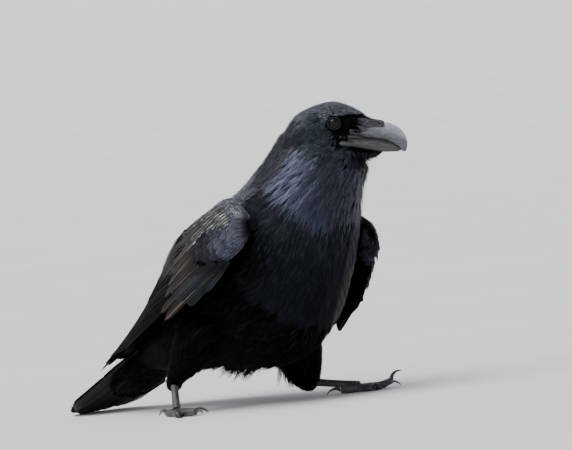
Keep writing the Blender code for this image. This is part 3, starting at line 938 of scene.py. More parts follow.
def build_camera():
    right = np.array((math.cos(CAMERA_AZIMUTH), math.sin(CAMERA_AZIMUTH), 0))
    level = np.array((math.sin(CAMERA_AZIMUTH), -math.cos(CAMERA_AZIMUTH), 0))
    back = level * math.cos(CAMERA_RISE) + UP * math.sin(CAMERA_RISE)
    up = np.cross(back, right)
    target = ORIGIN + right * CAMERA_SHIFT[0] + up * CAMERA_SHIFT[1]
    data = bpy.data.cameras.new("camera")
    data.lens = LENS
    data.sensor_width = 36
    data.clip_end = 200
    cos, sin = math.cos(CAMERA_ROLL), math.sin(CAMERA_ROLL)
    axes = (right * cos - up * sin, up * cos + right * sin, back)
    bpy.context.scene.camera = set_up("camera", data, axes, target + back * CAMERA_DISTANCE)


def build_stage():
    """A pale floor that sweeps up far away, under a plain sky."""
    rise = 0.03 * np.maximum(FLOOR_RADII - FLOOR_LEVEL, 0) ** 2
    turn, radius = np.meshgrid(circle(FLOOR_SIDES), FLOOR_RADII)
    height = np.repeat(rise[:, None], FLOOR_SIDES, 1)
    points = np.stack((radius * np.cos(turn), radius * np.sin(turn), height), -1)
    points = np.concatenate((points.reshape(-1, 3), np.zeros((1, 3))))
    even = np.arange(0, FLOOR_SIDES, 2)
    centre = np.stack((even, even + 1, np.roll(even, -1), np.full(len(even), len(points) - 1)), 1)
    quads = np.concatenate((grid_quads(len(FLOOR_RADII), FLOOR_SIDES, closed=True), centre))
    floor = mesh_object("floor", points, quads)
    material, tree, shader = principled("floor", Roughness=0.85, Specular_IOR_Level=0.1)
    feed(tree, blotches(tree, 3.0, 0.3, 0.7, *FLOOR_COLOURS), shader.inputs["Base Color"])
    floor.data.materials.append(material)
    world = bpy.data.worlds.new("studio")
    world.use_nodes = True
    background = world.node_tree.nodes["Background"]
    background.inputs["Color"].default_value = SKY
    background.inputs["Strength"].default_value = SKY_STRENGTH
    bpy.context.scene.world = world


def add_sun(name, toward, strength, colour=(1, 1, 1)):
    """A wide, soft light that comes from one direction."""
    data = bpy.data.lights.new(name, "SUN")
    data.energy = strength
    data.angle = math.radians(SOFTNESS)
    data.color = colour
    back = unit(np.array(toward, float))
    right = unit(np.cross((0.01, 0.02, 1.0), back))
    set_up(name, data, (right, np.cross(back, right), back))


def build_lights():
    add_sun("sky_panel", (-0.50, 0.05, 1.0), 3.6, (0.97, 0.985, 1.0))
    add_sun("side_panel", (-1.0, -0.45, 0.6), 1.0)


# ---------------- the bird's surfaces
BODY_NODES = ["head", "nasal_tuft", "chin", "neck", "breast", "belly", "rump", "undertail",
              "thigh_left", "thigh_right"]
WING_NODES = {side: [f"wing_{side}_{part}" for part in ("arm", "secondaries", "primaries")] for side in SIDES}
# The bake map of the body feathers is unrolled round this line, from the tail to the bill.
TRUNK_LINE = [on_bird(s.forward, s.left, s.up) for s in STATIONS] + [BROW, on_head(50, 0, 0)]
# Plumage that stands fuller than the solids: both heels and the sides of the bill's base.
PADS = [
    (on_bird(11, 65, 17), np.array((12, 13, 12)) * MM, np.eye(3)),
    (on_bird(-57, -60, 33), np.array((9, 10, 9)) * MM, np.eye(3)),
    *((on_head(23, sign * 7.2, -0.5), np.array((16, 5.4, 8)) * MM, HEAD_AXES) for sign in SIDES.values()),
]
SURFACE_GROWTH = 0.35                # how far the body is grown before it is made smooth, millimetres
GAPES = [on_head(12, sign * 17.5, -16.5) for sign in SIDES.values()]
BARE_GAPE = 5.5 * MM                 # no feathers are rooted this near the corner of the mouth
BARE_EYE = EYE_RADIUS + 1.0 * MM     # nor this near the middle of an eye
LID_RADIUS = 6.9 * MM                # and none lies over the lids
# Heights above the origin and the painted shade there: hackles darken lower down as they fade into the
# breast, and the breast as it fades into the belly, as less light falls there; the vent grows lighter towards
# the bottom as it fades into the flanks.
PAINTED_HEIGHT_SHADES = {
    "hackle": ((0.182, 0.230), (-0.32, 0.18)),
    "breast": ((0.110, 0.190), (-0.40, 0.40)),
    "vent": ((0.042, 0.066), (0.35, -0.40)),
}


def build_skin(comb):
    """One skin under all the plumage, inside the solids by the coat's depth."""
    nodes = [*BODY_NODES, "tail", *WING_NODES["left"], *WING_NODES["right"]]
    skin = fused("skin", nodes, voxel=2.7, grow=SURFACE_GROWTH, rounds=4, pads=PADS)
    surface = Surface(skin)
    found, read = comb.surface.nearest(surface.points)
    away = np.linalg.norm(found - surface.points, axis=1)
    depth = np.where(away < 3 * MM, read(comb.sizes)[:, 2], BLADE_DEPTH * MM)
    depth = np.minimum(depth, 0.4 * surface.thickness()) + SURFACE_GROWTH * MM
    reshape(skin, surface.points - surface.normals * depth[:, None])
    dress(skin, "plumage", skin_finish(), replaced=nodes)


# Painted shade by height for a coat, or nothing for a coat without it.
def painted_height_shade(coat):
    if coat not in PAINTED_HEIGHT_SHADES:
        return None
    heights, shades = PAINTED_HEIGHT_SHADES[coat]
    return lambda roots: np.interp(roots[:, 2] - ORIGIN[2], heights, shades)


def under(surface, paths, normals, reach):
    """Whether each feather has a surface over its root and its tip."""
    root, tip = (surface.covered(paths[:, knot], normals[:, knot], reach) for knot in (0, -1))
    return root & tip


def over_eyes(paths):
    over = np.zeros(len(paths), bool)
    for side, place in EYES.items():
        away = paths - place
        depth = away @ (HEAD_LEFT * SIDES[side])
        spread = np.sqrt(np.maximum((away ** 2).sum(2) - depth ** 2, 0))
        over |= ((spread < LID_RADIUS) & (depth > 0)).any(1)
    return over


def build_body_coat():
    """The coats of head, neck, trunk and thighs, where the wings don't cover them."""
    surface = surface_round(BODY_NODES, voxel=1.8, grow=SURFACE_GROWTH, rounds=4, pads=PADS)
    comb = Comb(surface, trunk_guides() + head_guides() + leg_guides())
    wings = {side: surface_round(WING_NODES[side], voxel=2.0, grow=0.3, rounds=3) for side in SIDES}
    allowed = nearest_gap(surface.points, EYES.values()) > BARE_EYE
    allowed &= nearest_gap(surface.points, GAPES) > BARE_GAPE

    def shows(paths, normals):
        hidden = over_eyes(paths)
        for wing in wings.values():
            hidden |= under(wing, paths, normals, 0.03)
        return ~hidden

    grow_coats("feathers_", comb, allowed, shows, TRUNK_LINE, painted_height_shade)
    return comb, wings


# ---------------- wings and tail
# What differs between the far wing, held out, and the near one: shares of the lowest coverts' roots and tips;
# lift, trim and painted shade of the small coverts; where scapulars and scales begin, how far the scapulars
# reach and how bright the scales are.  The far wing's coverts and scales are painted darker, for the shade it
# lies in.
Wing = namedtuple("Wing", "low lift trim shade scapulars scales reach bright")
WINGS = {
    "left": Wing((0.25, 0.06), 0.4, (0.85, 0.9, 1, 0.2), -0.2, 30, 34, 260, 0.3),
    "right": Wing((-0.12, -0.13), 1, (1, 1, 1, 1), 0.0, -12, -20, 288, 1.0),
}


class Chart:
    """A thin blade laid flat: x runs to its tip, y across it and z out of it, in millimetres."""
    FACING = 0.45            # points whose normals lean further than this belong to a face, not to the edge
    MARKS = 40               # places along the blade at which its edges are measured

    def __init__(self, surface, outward, rise):
        points = surface.points
        centre = points.mean(0)
        along, across, out = np.linalg.svd(points - centre, full_matrices=False)[2]
        along = along * np.sign(along[1])
        across = across * np.sign(across @ rise)
        out = out * np.sign(out @ outward)
        self.axes = np.array((along, across, out))
        flat = (points - centre) @ self.axes.T / MM
        self.origin = centre + along * flat[:, 0].min() * MM
        flat[:, 0] -= flat[:, 0].min()
        self.length = flat[:, 0].max()
        facing = surface.normals @ out
        self.fits = {
            face: np.linalg.lstsq(self.powers(flat[side, 0], flat[side, 1]), flat[side, 2], rcond=None)[0]
            for face, side in ((1, facing > self.FACING), (-1, facing < -self.FACING))
        }
        self.marks = np.linspace(0, self.length, self.MARKS)
        near = [np.abs(flat[:, 0] - mark) < self.length / 50 for mark in self.marks]
        self.low = np.array([flat[mask, 1].min() for mask in near])
        self.high = np.array([flat[mask, 1].max() for mask in near])

    def powers(self, x, y):
        """Terms of the smooth surface fitted to a face, from places scaled to about one."""
        x, y = x / 200 - 1, y / 60
        return np.stack([x ** i * y ** j for i in range(5) for j in range(3)], -1)

    def spot(self, x, y, lift, face=1):
        """A point above one face, 1 for the outer and -1 for the inner."""
        flat = np.stack((x, y, self.powers(x, y) @ self.fits[face] + face * lift), -1)
        return self.origin + flat @ self.axes * MM

    def normal(self, x, y, face=1):
        step = 2.0
        along = self.spot(x + step, y, 0, face) - self.spot(x - step, y, 0, face)
        across = self.spot(x, y + step, 0, face) - self.spot(x, y - step, 0, face)
        normal = unit(np.cross(along, across))
        return normal * np.sign((normal @ self.axes[2]) * face)[..., None]

    def height(self, x, share):
        """Height across the blade at a share of the way from its low edge to its high one."""
        low, high = np.interp(x, self.marks, self.low), np.interp(x, self.marks, self.high)
        return low + (high - low) * share

    def flat(self, places):
        return (places - self.origin) @ self.axes.T / MM


# A long feather on a chart: root and tip (x, share of the blade), half width, lift at root and at tip, bow.
Quill = namedtuple("Quill", "root tip half low high bow")


def covert_end(share):
    """How far along a folded wing the small coverts are rooted."""
    return np.interp(share, (0, 0.2, 0.5, 1), (34, 62, 98, 98))


def cover_share(x):
    """Share of a folded wing's height above which the scapulars lie over it."""
    return np.interp(x, (0, 40, 85, 110, 150, 200), (0.76, 0.70, 0.62, 0.56, 0.52, 0.60))


def evenly(count, first, last):
    """Values for each of several feathers in a row, from the first to the last."""
    steps = np.linspace(0, 1, count)
    return [np.asarray(first) + (np.asarray(last) - np.asarray(first)) * step for step in steps]


def primaries():
    """Ten, the outermost lowest; the wing's point is the fifth."""
    tips = [334, 360, 384, 398, 404, 392, 372, 352, 334, 318]
    shares = [-0.10, -0.06, 0.10, 0.30, 0.52, 0.62, 0.68, 0.72, 0.76, 0.80]
    roots = evenly(10, (62, 0.06), (105, 0.42))
    lifts = [-1.3 + 0.16 * index for index in range(10)]
    return [Quill(root, (tip, share), 10.5, lift, lift, -1.5)
            for root, tip, share, lift in zip(roots, tips, shares, lifts)]


def secondaries():
    """Nine, and three tertials above them, each over the one below."""
    tips = [222, 232, 240, 247, 252, 257, 263, 270, 280, 294, 310, 322]
    halves = [12.5] * 9 + [13.0] * 3
    roots = evenly(12, (95, 0.08), (160, 0.84))
    shares = evenly(12, 0.10, 0.82)
    return [Quill(root, (tip, share), half, 0.1 + 0.16 * index, 0.2 + 0.16 * index, 1.5)
            for index, (root, tip, share, half) in enumerate(zip(roots, tips, shares, halves))]


def greater_coverts(low):
    """Worn and out of line, their pale shafts askew."""
    tips = [166, 172, 178, 160, 172, 154, 166, 150, 160, 148, 158, 150, 156, 148]
    skews = [0.03, -0.02, 0.05, 0.00, -0.05, 0.04, 0.02, -0.04, 0.02, 0.0, 0.05, -0.03, 0.03, 0.0]
    return [
        Quill((np.interp(index, (0, 3, 7, 13), (58, 74, 96, 104)), low[0] + 0.06 + 0.045 * index),
              (tip, low[1] + 0.044 * index + skew), 4.8, 0.9, 1.7 + 0.10 * index, 1.0)
        for index, (tip, skew) in enumerate(zip(tips, skews))
    ]


def stiff_coverts(low, count, root, tip, half, lift, rise, bow):
    """A row from the wing's front edge; root and tip are the first feather's and the step to the next."""
    feathers = []
    for index in range(count):
        start, end = (first + step * index for first, step in (root, tip))
        climb = 0.03 * index
        high = 1.2 + rise * index
        feathers.append(Quill((start, low[0] + climb), (end, low[1] + climb), half, lift, high, bow))
    return feathers


def blade_template(draw, rows=24, splits=3):
    """A long vane with a ridge for its shaft and a few splits in its edge."""
    across = np.array((-1, -0.75, -0.5, -0.25, -0.055, 0, 0.055, 0.25, 0.5, 0.75, 1))
    s, a = np.meshgrid(np.linspace(0, 1, rows + 1), across, indexing="ij")
    width = outline("blade", s)
    for _ in range(splits):
        row, edge = draw.integers(8, rows - 1), draw.choice((0, len(across) - 1))
        width[row, edge] *= draw.uniform(0.8, 0.92)
    shaft = np.abs(a) < 0.06
    return Template(s.ravel(), np.where(shaft, a, a * width).ravel(), grid_quads(*s.shape))


def quill_batches(chart, quills, face=1, knots=16, skew=0.0, fade=0.0):
    """Long feathers on one face of a blade; fade paints shade that darkens them to their tips."""
    draw = np.random.default_rng(len(quills) + 20)
    share = np.linspace(0, 1, knots)
    batches = []
    for quill in quills:
        start = np.array((quill.root[0], chart.height(*quill.root)))
        end = np.array((quill.tip[0], chart.height(*quill.tip))) + draw.normal(0, (2.0, 0.6))
        spine = start + (end - start) * share[:, None]
        spine[:, 1] += quill.bow * 4 * share * (1 - share)
        lift = quill.low + (quill.high - quill.low) * share
        path = chart.spot(spine[:, 0], spine[:, 1], lift, face)
        normals = chart.normal(spine[:, 0], spine[:, 1], face)
        points = lay(blade_template(draw), path[None], normals[None], np.array((quill.half * MM,)),
                     camber=0.07, skew=skew)
        root = start / (chart.length, 130) * 0.9 + (0.02, 0.5)
        marks = blade_template(draw)         # the colours have splits of their own
        batches.append(batch(marks, points, root[None], draw.uniform() * (1 - fade * marks.along)))
    return batches


def build_quills(side, chart):
    """The long feathers of a folded wing and the coverts over them."""
    low = WINGS[side].low
    skew = 0.3 * SIDES[side]
    worn = greater_coverts(low)
    if side == "left":
        worn.append(Quill((66, 0.12), (120, -0.04), 6.0, 0.4, 0.8, 0.0))
    stiff = stiff_coverts(low, 6, (40, 3), (118, 4), 6.5, 0.6, 0.16, 0.5)
    alula = stiff_coverts(low, 3, (28, 4), (78, 12), 5.0, 0.4, 0.2, 0.0)
    # Each row: name, quills, finish and how much painted shade darkens its feathers to their tips.
    rows = (
        ("primaries", primaries(), "flight", 0.3),
        ("secondaries", secondaries(), "secondary", 0.6),
        ("primary_coverts", stiff + alula, "slate", 0.75),
        ("greater_coverts", worn, "worn", 0.5),
    )
    for name, quills, finish, fade in rows:
        batches = quill_batches(chart, quills, skew=skew, fade=fade)
        if name in ("primaries", "secondaries"):
            batches += quill_batches(chart, quills, face=-1, skew=-skew)
        feather_piece(f"wing_{side}_{name}", batches, finish, "flight_feather")


def build_wing_coat(side, surface, chart, body):
    """Small coverts over the front of a folded wing, smaller round its rim, and the lining on its inside."""
    wing = WINGS[side]
    along, _, out = chart.axes
    x, y, _ = chart.flat(surface.points).T
    facing = surface.normals @ out
    share = (y - chart.height(x, 0)) / (chart.height(x, 1) - chart.height(x, 0))
    front = (x < covert_end(share)) & ((facing > np.clip(0.01 * x - 0.4, -0.4, 0.5)) | (x < 20))
    rim = front & ((x < 24) | (share < 0.1))
    guides = [Guide(chart.origin + along * 0.1 * index, along, coat)
              for index, coat in enumerate(("lesser", "lining", "marginal"))]
    comb = Comb(surface, guides)
    lesser, lining, marginal = range(3)
    comb.kind = np.where(rim, marginal, np.where(front, lesser, lining))
    size = np.clip(0.75 + 0.007 * x, 0.7, 1.5)[:, None] * (1, 1, 0, 0) + (0, 0, 1, wing.lift)
    inner = np.where(front[:, None], coat_sizes("lesser") * size, coat_sizes("lining"))
    comb.sizes = np.where(rim[:, None], coat_sizes("marginal") * wing.trim, inner)
    allowed = ((facing < -0.6) & (share > 0.15) & (share < 0.85)) | front
    allowed &= (share < cover_share(x) + 0.12) | (side == "left")
    allowed &= x < 215
    line = [chart.origin, chart.origin + along * chart.length * MM]

    # Painted shade: the coverts darken backwards under the scapulars' shadow, and the far wing's are darker
    # still.
    def shade(roots):
        return wing.shade + np.interp(chart.flat(roots)[:, 0], (5, 32, 56, 80), (0.54, 0.30, -0.14, -0.4))

    def shows(paths, normals):
        return ~under(body, paths, normals, 0.02) | (chart.flat(paths[:, 0])[:, 0] < 10)

    grow_coats(f"wing_{side}_", comb, allowed, shows, line, lambda coat: shade)


def tail_quills(face):
    """Six pairs, the middle one longest and on top, in the order in which they lie."""
    quills = []
    for pair, short in enumerate((0, 3, 8, 15, 24, 35)):
        lift = 0.9 - 0.22 * pair if face > 0 else 0.22 * pair - 0.4
        half, splay = (12.0, 1.12) if pair < 5 else (9.5, 1.0)
        for sign in (1, -1):
            root = (-6, 0.5 + sign * (0.03 + 0.09 * pair))
            tip = (155 - short, 0.5 + sign * (3.5 + 6.1 * pair) / 82 * splay)
            quills.append(Quill(root, tip, half, lift, lift, 0.0))
    return sorted(quills, key=lambda quill: quill.low)


def build_tail():
    surface = surface_round(["tail"], voxel=1.6, grow=0.3, rounds=2)
    chart = Chart(surface, outward=np.array((0, 0.3, 1.0)), rise=np.array((1.0, 0, 0)))
    batches = quill_batches(chart, tail_quills(1)) + quill_batches(chart, tail_quills(-1), -1)
    feather_piece("tail_quills", batches, "tail", "flight_feather")


# ---------------- shoulders
# Rows of small feathers on a chart: stray of a root, least and greatest length, half width and its spread,
# least lift and the most it gains, slant and its stray, least and greatest shade.
Scales = namedtuple("Scales", "stray lengths half spread lift gain slant askew shades")
SHOULDER = Scales((1, 0.01), (12, 16), 3.2, 0.15, 3.6, 0.8, 0.2, 0.1, (0.1, 0.9))
WRIST = Scales((1, 0.02), (13, 17), 3.6, 0.1, 3.2, 0.6, 0, 0.08, (0.4, 0.9))


def shoulder_batches(surface, chart, feathers, kinds, fade):
    """Feathers over the shoulder; each is a root, length, half width, lift, slant and shade."""
    place, lengths, halves, lifts, slants, tints = (np.array(column) for column in zip(*feathers))
    where = filled(chart.flat(place)[:, :2])
    knots = 9
    runs = unit(chart.axes[0] - chart.axes[1] * slants[:, None])
    paths, normals = [], []
    for share in np.arange(knots) / (knots - 1):
        found, read = surface.nearest(place)
        normal = unit(read(surface.normals))
        x, y, _ = chart.flat(found).T
        swell = np.interp(x, (20, 90, 170, 205, 240, 285), (0, -3.6, -3.6, 1, 6, 10))
        swell *= np.clip((y - chart.height(x, 0.7)) / 25, 0, 1)
        height = (lifts * (0.3 + 0.7 * share ** 0.7) - 1.3 + swell) * MM
        paths.append(found + normal * height[:, None])
        normals.append(normal)
        place = found + unit(along_surface(runs, normal)) * (lengths / (knots - 1) * MM)[:, None]
    paths, normals = np.stack(paths, 1), np.stack(normals, 1)
    batches = []
    # fade paints shade that darkens each feather to its tip.
    for index, template in enumerate(kinds):
        mine = np.arange(len(feathers)) % len(kinds) == index
        points = lay(template, paths[mine], normals[mine], halves[mine] * MM, camber=0.3)
        batches.append(batch(template, points, where[mine], tints[mine, None] * (1 - fade * template.along)))
    return batches


def root_near(chart, x, share, stray, draw):
    """A root over a place of the blade, strayed along the blade and across it."""
    along = x + draw.normal(0, stray[0])
    return chart.spot(along, chart.height(x, share + draw.normal(0, stray[1])), 3.0)


def scale_start(x):
    """Share of a folded wing's height above which the small shoulder feathers grow."""
    return np.interp(x, (-20, -9, -5, 9, 13, 40, 112), (1.02, 1.02, 1.12, 1.12, 0.94, 0.90, 0.98))


def long_scapulars(chart, wing, draw):
    """Over the top of the folded wing; painted sheen in front, darkening backwards into painted shade."""
    feathers = []
    for x in np.arange(wing.scapulars, 205, 8.5):
        for share in np.arange(cover_share(x), 1.16, 0.056):
            reach = np.interp(share, (0.5, 1.1), (185, wing.reach))
            if reach - x < 45 or (x < 14 and share > 0.84):
                continue
            spot = root_near(chart, x, share, (3, 0.012), draw)
            length = min(27 + 0.30 * max(x, 0), reach - x) * draw.uniform(0.88, 1.1)
            half = (2.7 + 0.016 * x) * draw.uniform(0.85, 1.15)
            slant = np.interp(share, (cover_share(x), 1.1), (0.26, -0.06)) + draw.normal(0, 0.04)
            # Painted sheen at the front fading to painted shade behind, with a random tone.
            shade = np.clip(1.5 - (x + 10) / 90 + draw.normal(0, 0.18), 0, 1)
            feathers.append((spot, length, half, 3.4 + draw.uniform(0, 1.2), slant, shade))
    return feathers


def scale_rows(chart, places, kind, bright, draw):
    """Small feathers near places given as x and share of the blade."""
    feathers = []
    for x, share in places:
        spot = root_near(chart, x, share, kind.stray, draw)
        length = draw.uniform(*kind.lengths)
        half = kind.half * draw.uniform(1 - kind.spread, 1 + kind.spread)
        lift = kind.lift + draw.uniform(0, kind.gain)
        slant = kind.slant + draw.normal(0, kind.askew)
        feathers.append((spot, length, half, lift, slant, draw.uniform(*kind.shades) * bright))
    return feathers


def build_shoulder(side, chart):
    """Long scapulars, small scale-like feathers ahead of and above them, and the coverts of the wrist."""
    nodes = ["neck", "breast", "belly", "rump", *WING_NODES[side]]
    surface = surface_round(nodes, voxel=3.0, grow=0.5, rounds=5)
    wing = WINGS[side]
    draw = np.random.default_rng(31)
    long = long_scapulars(chart, wing, draw)
    shoulder = [(x, share) for x in np.arange(wing.scales, 112, 4.2)
                for share in np.arange(scale_start(x), 1.36, 0.042)]
    wrist = itertools.product(np.arange(-14, 8, 4.0), np.arange(0.02, 0.80, 0.075))
    # The far wing's scales are painted darker, as shade.
    small = scale_rows(chart, shoulder, SHOULDER, wing.bright, draw)
    front = scale_rows(chart, wrist, WRIST, wing.bright, draw)
    strands = [strand_template("pointed", 7, 8, draw) for _ in range(4)]
    scales = [sheet_template("round", 6, 6)]
    for name, feathers, kinds, fade, finish in (
            ("scapulars", long, strands, 0.45, "scapular"),
            ("shoulder_scales", small, scales, 0, "mantle"),
            ("wrist_coverts", front, scales, 0, "covert")):
        batches = shoulder_batches(surface, chart, feathers, kinds, fade)
        feather_piece(f"{name}_{side}", batches, finish, "plumage")


# ---------------- horn, legs and eyes
def flow_map(piece):
    """A map for growth lines: along the bill and round it."""
    points, _ = points_and_normals(piece.data)
    local = (points - BROW) @ HEAD_AXES.T / MM
    add_map(piece, "flow", np.stack((local[:, 0] / 100, np.arctan2(local[:, 1], local[:, 2] + 12) / 2), 1))


def flow_noise(tree, stretch, detail=4.0):
    """Noise drawn out along the growth lines."""
    scaled = tree.nodes.new("ShaderNodeVectorMath")
    scaled.operation = "MULTIPLY"
    feed(tree, map_node(tree, "flow"), scaled.inputs[0])
    scaled.inputs[1].default_value = (*stretch, 1.0)
    return noise_node(tree, 1.0, detail, scaled.outputs[0])


def horn_finish(name, colour, streak, rough, mottle, gloss=0.5):
    """Horn with growth lines, some mottling and a painted highlight along its ridge; colours in thousandths.
    """
    material, tree, shader = principled(name, Roughness=rough, IOR=1 + gloss)
    lines = ramp_node(tree, flow_noise(tree, (12, 17)), 0.38, 0.66)
    spots = ramp_node(tree, flow_noise(tree, (45, 12), 5.0), 0.42, 0.60)
    _, turn = map_parts(tree, "flow")
    # Painted highlight: paler along the top of the horn, where light from above catches it.
    ridge = ramp_node(tree, math_node(tree, "ABSOLUTE", turn), 0.03, 0.5, 1.0, 0.0)
    lined = mix_node(tree, lines, tone(colour), tone(streak))
    with_painted_highlight = mix_node(tree, ridge, lined, tuple(part * 2.4 for part in tone(streak)))
    pits = tuple(part * 0.3 for part in tone(colour))
    pitted = mix_node(tree, product(tree, spots, mottle), with_painted_highlight, pits)
    feed(tree, pitted, shader.inputs["Base Color"])
    dull = ramp_node(tree, spots, 0.0, 1.0, rough - 0.04, rough + 0.1 + 0.2 * mottle)
    feed(tree, dull, shader.inputs["Roughness"])
    add_bump(tree, shader, flow_noise(tree, (26, 34)), 0.15 + 0.6 * mottle, 0.3)
    return material


def horn_piece(name, nodes, voxel, rounds, material, slot, shape=None, grow=0.0, replaced=True):
    """A smooth copy of some CAD nodes, shaped by a function of its points and normals."""
    piece = fused(name, nodes, voxel, grow, rounds)
    if shape:
        points, normals = points_and_normals(piece.data)
        reshape(piece, points + normals * shape(points, normals)[:, None])
    flow_map(piece)
    dress(piece, slot, material, replaced=nodes if replaced else ())


def cutting_edge(side, amount):
    """Squares the edge of one half of the bill where it meets the other; side is -1 for the upper half."""
    def shape(points, normals):
        local = normals @ HEAD_AXES.T
        return 2 * amount * MM * np.abs(local[:, 1]) * np.clip(side * local[:, 2], 0, 1)
    return shape


def sunk(depth):
    """Moves a surface inwards by a depth in millimetres."""
    def shape(points, normals):
        return np.full(len(points), -depth * MM)
    return shape


def bill_strip(name, rows, material, sign=1, lined=True, sides=14):
    """A rounded strip along places of the head, each with its radius in millimetres."""
    path = np.array([on_head(forward, sign * left, up) for forward, left, up, _ in rows])
    radii = np.array([row[3] for row in rows]) * MM
    runs = unit(np.gradient(path, axis=0))
    first = unit(np.cross(runs, HEAD_UP))
    second = np.cross(runs, first)
    turn = circle(sides)[None, :, None]
    ring = np.cos(turn) * first[:, None] + np.sin(turn) * second[:, None]
    piece = rings_object(name, path[:, None] + ring * radii[:, None, None])
    if lined:
        flow_map(piece)
    dress(piece, "bill", material)


# Strips of the bill, from front to back: forward, left and up in the head, and radius.
GAPE_LINE = [(33, 7.6, -11.6, 0.2), (28, 8.8, -11.6, 0.7), (22, 9.9, -11.8, 1.3), (17, 12.4, -12.1, 1.9),
             (12, 15.8, -12.6, 2.1), (8, 17.6, -13.2, 1.7), (5, 18.2, -13.9, 0.3)]
JAW_LINE = [(28, 6.6, -18.7, 1.5), (22, 9.0, -19.1, 3.4), (17, 11.2, -19.5, 4.1), (13, 13.0, -19.8, 4.1),
            (9.5, 14.2, -20.0, 3.4), (7, 14.8, -20.2, 1.0)]
POINT_LINE = [(58, 0, -19.6, 1.6), (64, 0, -19.6, 2.0), (69, 0, -19.4, 1.9), (72.5, 0, -19.0, 1.5),
              (74.5, 0, -18.6, 0.5)]


def build_bill():
    upper = horn_finish("bill_ridge", (70, 74, 85), (145, 153, 173), 0.24, 0.28)
    lower = horn_finish("bill_under", (32, 32, 31), (85, 84, 81), 0.30, 0.5)
    inner = horn_finish("bill_inside", (2, 2, 2), (3, 3, 3), 0.6, 0.3, 0.05)
    flesh = bare_skin_finish("gape_flesh", (22, 22, 23), (60, 60, 62))
    horn_piece("bill_top", ["bill_upper"], 0.6, 4, upper, "bill", cutting_edge(-1, 0.8), 0.3)
    horn_piece("bill_bottom", ["bill_lower"], 0.6, 4, lower, "bill", cutting_edge(1, 0.8), 0.3)
    core = ["bill_upper", "bill_lower", "chin"]
    horn_piece("bill_core", core, 0.7, 4, inner, "bill", sunk(2.4), 1.2, replaced=False)
    for side, sign in SIDES.items():
        bill_strip("gape_" + side, GAPE_LINE, flesh, sign, lined=False)
        bill_strip("jaw_" + side, JAW_LINE, lower, sign)
    bill_strip("bill_point", POINT_LINE, lower)


def scutes(centre, period, depth):
    """Plates across a limb, as a saw-toothed rise along the distance from a point."""
    def shape(points, normals):
        away = np.linalg.norm(points - centre, axis=1) / (period * MM)
        step = away - np.floor(away)
        upper = np.clip(normals[:, 2] + 0.6, 0, 1)
        return depth * MM * (np.minimum(step, (1 - step) * 5) - 0.35) * upper
    return shape


def leg_finish():
    material, tree, shader = principled("leg_scales", Roughness=0.5)
    cells = tree.nodes.new("ShaderNodeTexVoronoi")
    cells.inputs["Scale"].default_value = 620.0
    feed(tree, tree.nodes.new("ShaderNodeTexCoord").outputs["Object"], cells.inputs["Vector"])
    gaps = ramp_node(tree, cells.outputs["Distance"], 0.0, 0.6)
    scales = blotches(tree, 90.0, 0.35, 0.7, tone((40, 40, 43)), tone((95, 95, 100)))
    lined = mix_node(tree, product(tree, gaps, 0.5), scales, tone((20, 20, 22)))
    feed(tree, lined, shader.inputs["Base Color"])
    add_bump(tree, shader, cells.outputs["Distance"], 0.5, -0.3)
    return material


def build_legs():
    scaly = leg_finish()
    glossy = horn_finish("claw_horn", (12, 12, 14), (30, 29, 30), 0.22, 0.3)
    for side, joints in LEGS.items():
        shank, foot = "shank_" + side, "foot_" + side
        plates, knuckles = scutes(on_bird(*joints[-1]), 4.2, 0.7), scutes(middle(foot), 3.2, 0.6)
        horn_piece("shank_scaled_" + side, [shank], 0.7, 3, scaly, "leg_scale", plates)
        horn_piece("toes_" + side, [foot], 0.7, 3, scaly, "leg_scale", knuckles)
        claws = sorted(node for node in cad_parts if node.startswith("claw_" + side))
        horn_piece("claws_" + side, claws, 0.45, 3, glossy, "claw")


def turned_piece(name, centre, axis, profile, sides, stretch=(1, 1)):
    """A surface turned round an axis through a point from (radius, height) pairs in millimetres."""
    turn = circle(sides)[:, None]
    first = np.cos(turn) * HEAD_FORWARD * stretch[0]
    ring = first + np.sin(turn) * np.cross(axis, HEAD_FORWARD) * stretch[1]
    radius, height = np.array(profile).T[:, :, None, None]
    return rings_object(name, centre + (radius * ring[None] + height * axis) * MM)


def paint_rings(piece, second):
    """Gives the second material to the rings of a turned piece for which second is true."""
    rings = np.repeat(second, len(piece.data.polygons) // len(second))
    piece.data.polygons.foreach_set("material_index", rings.astype(np.int32))


def eye_finish(name, colour, fleck, rough):
    material, tree, shader = principled(name, Roughness=rough, IOR=1.05, Coat_Weight=0.4, Coat_Roughness=0.03)
    feed(tree, blotches(tree, 1500.0, 0.4, 0.7, tone(colour), tone(fleck)), shader.inputs["Base Color"])
    return material


def bare_skin_finish(name, dark, pale, gloss=0.5):
    """Bare, finely wrinkled skin; colours in thousandths."""
    material, tree, shader = principled(name, Roughness=0.5, IOR=1 + gloss)
    feed(tree, blotches(tree, 900.0, 0.35, 0.7, tone(dark), tone(pale)), shader.inputs["Base Color"])
    add_bump(tree, shader, noise_node(tree, 1400.0), 0.5, 0.2)
    return material


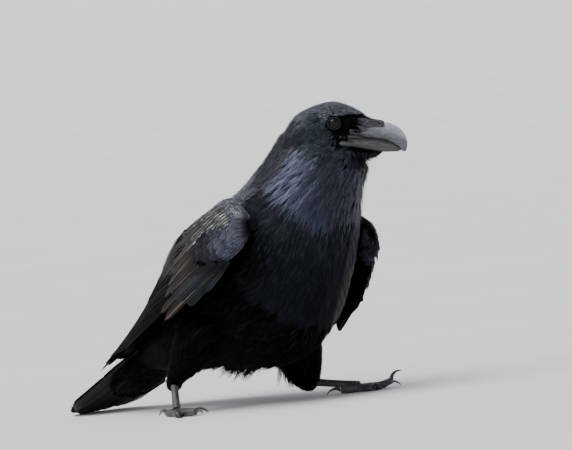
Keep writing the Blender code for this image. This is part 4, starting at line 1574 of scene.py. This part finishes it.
EYE_ANGLES = np.radians(np.linspace(1, 120, 34))     # rings of the eyeball, from the middle of the pupil
PUPIL_RINGS = 7
# Section of the lids: distance from the eye's axis and height over its middle, in millimetres.
LID_LINE = [(4.6, 5.5), (4.8, 6.0), (5.1, 6.2), (5.4, 6.05), (5.6, 6.15), (5.9, 6.4), (6.3, 6.45), (6.6, 6.2),
            (6.8, 5.7), (7.1, 5.2), (7.6, 4.2), (8.2, 3.0)]
LID_RINGS = (4, 7)                                   # first and last ring of bare lid; the rest is dark


def build_eyes():
    radius = EYE_RADIUS / MM
    pupil = eye_finish("pupil", (2, 2, 2), (3, 3, 3), 0.1)
    iris = eye_finish("iris", (4, 3, 2.5), (11, 8, 6), 0.15)
    lid = bare_skin_finish("eyelid", (8, 9, 10), (28, 30, 34), 0.2)
    socket = bare_skin_finish("eye_socket", (2, 2, 2), (4, 4, 4), 0.05)
    bulge = 0.35 * np.exp(-(EYE_ANGLES / 0.55) ** 2)
    ball_line = np.stack((radius * np.sin(EYE_ANGLES), radius * np.cos(EYE_ANGLES) + bulge), 1)
    for side, centre in EYES.items():
        axis = HEAD_LEFT * SIDES[side]
        eye = turned_piece("eyeball_" + side, centre, axis, ball_line, 40)
        dress(eye, "eye", pupil, iris, replaced=["eye_" + side])
        paint_rings(eye, np.arange(len(ball_line) - 1) >= PUPIL_RINGS)
        lids = turned_piece("eyelid_" + side, centre, axis, LID_LINE, 48, (1.06, 0.98))
        dress(lids, "plumage", lid, socket)
        band = np.arange(len(LID_LINE) - 1)
        paint_rings(lids, (band < LID_RINGS[0]) | (band > LID_RINGS[1]))


build_camera()
build_stage()
build_lights()
body_comb, wing_surfaces = build_body_coat()
build_skin(body_comb)
for wing_side, wing_surface in wing_surfaces.items():
    wing_chart = Chart(wing_surface, bird(0, SIDES[wing_side], 0), UP)
    build_quills(wing_side, wing_chart)
    build_wing_coat(wing_side, wing_surface, wing_chart, body_comb.surface)
    build_shoulder(wing_side, wing_chart)
build_tail()
build_bill()
build_legs()
build_eyes()
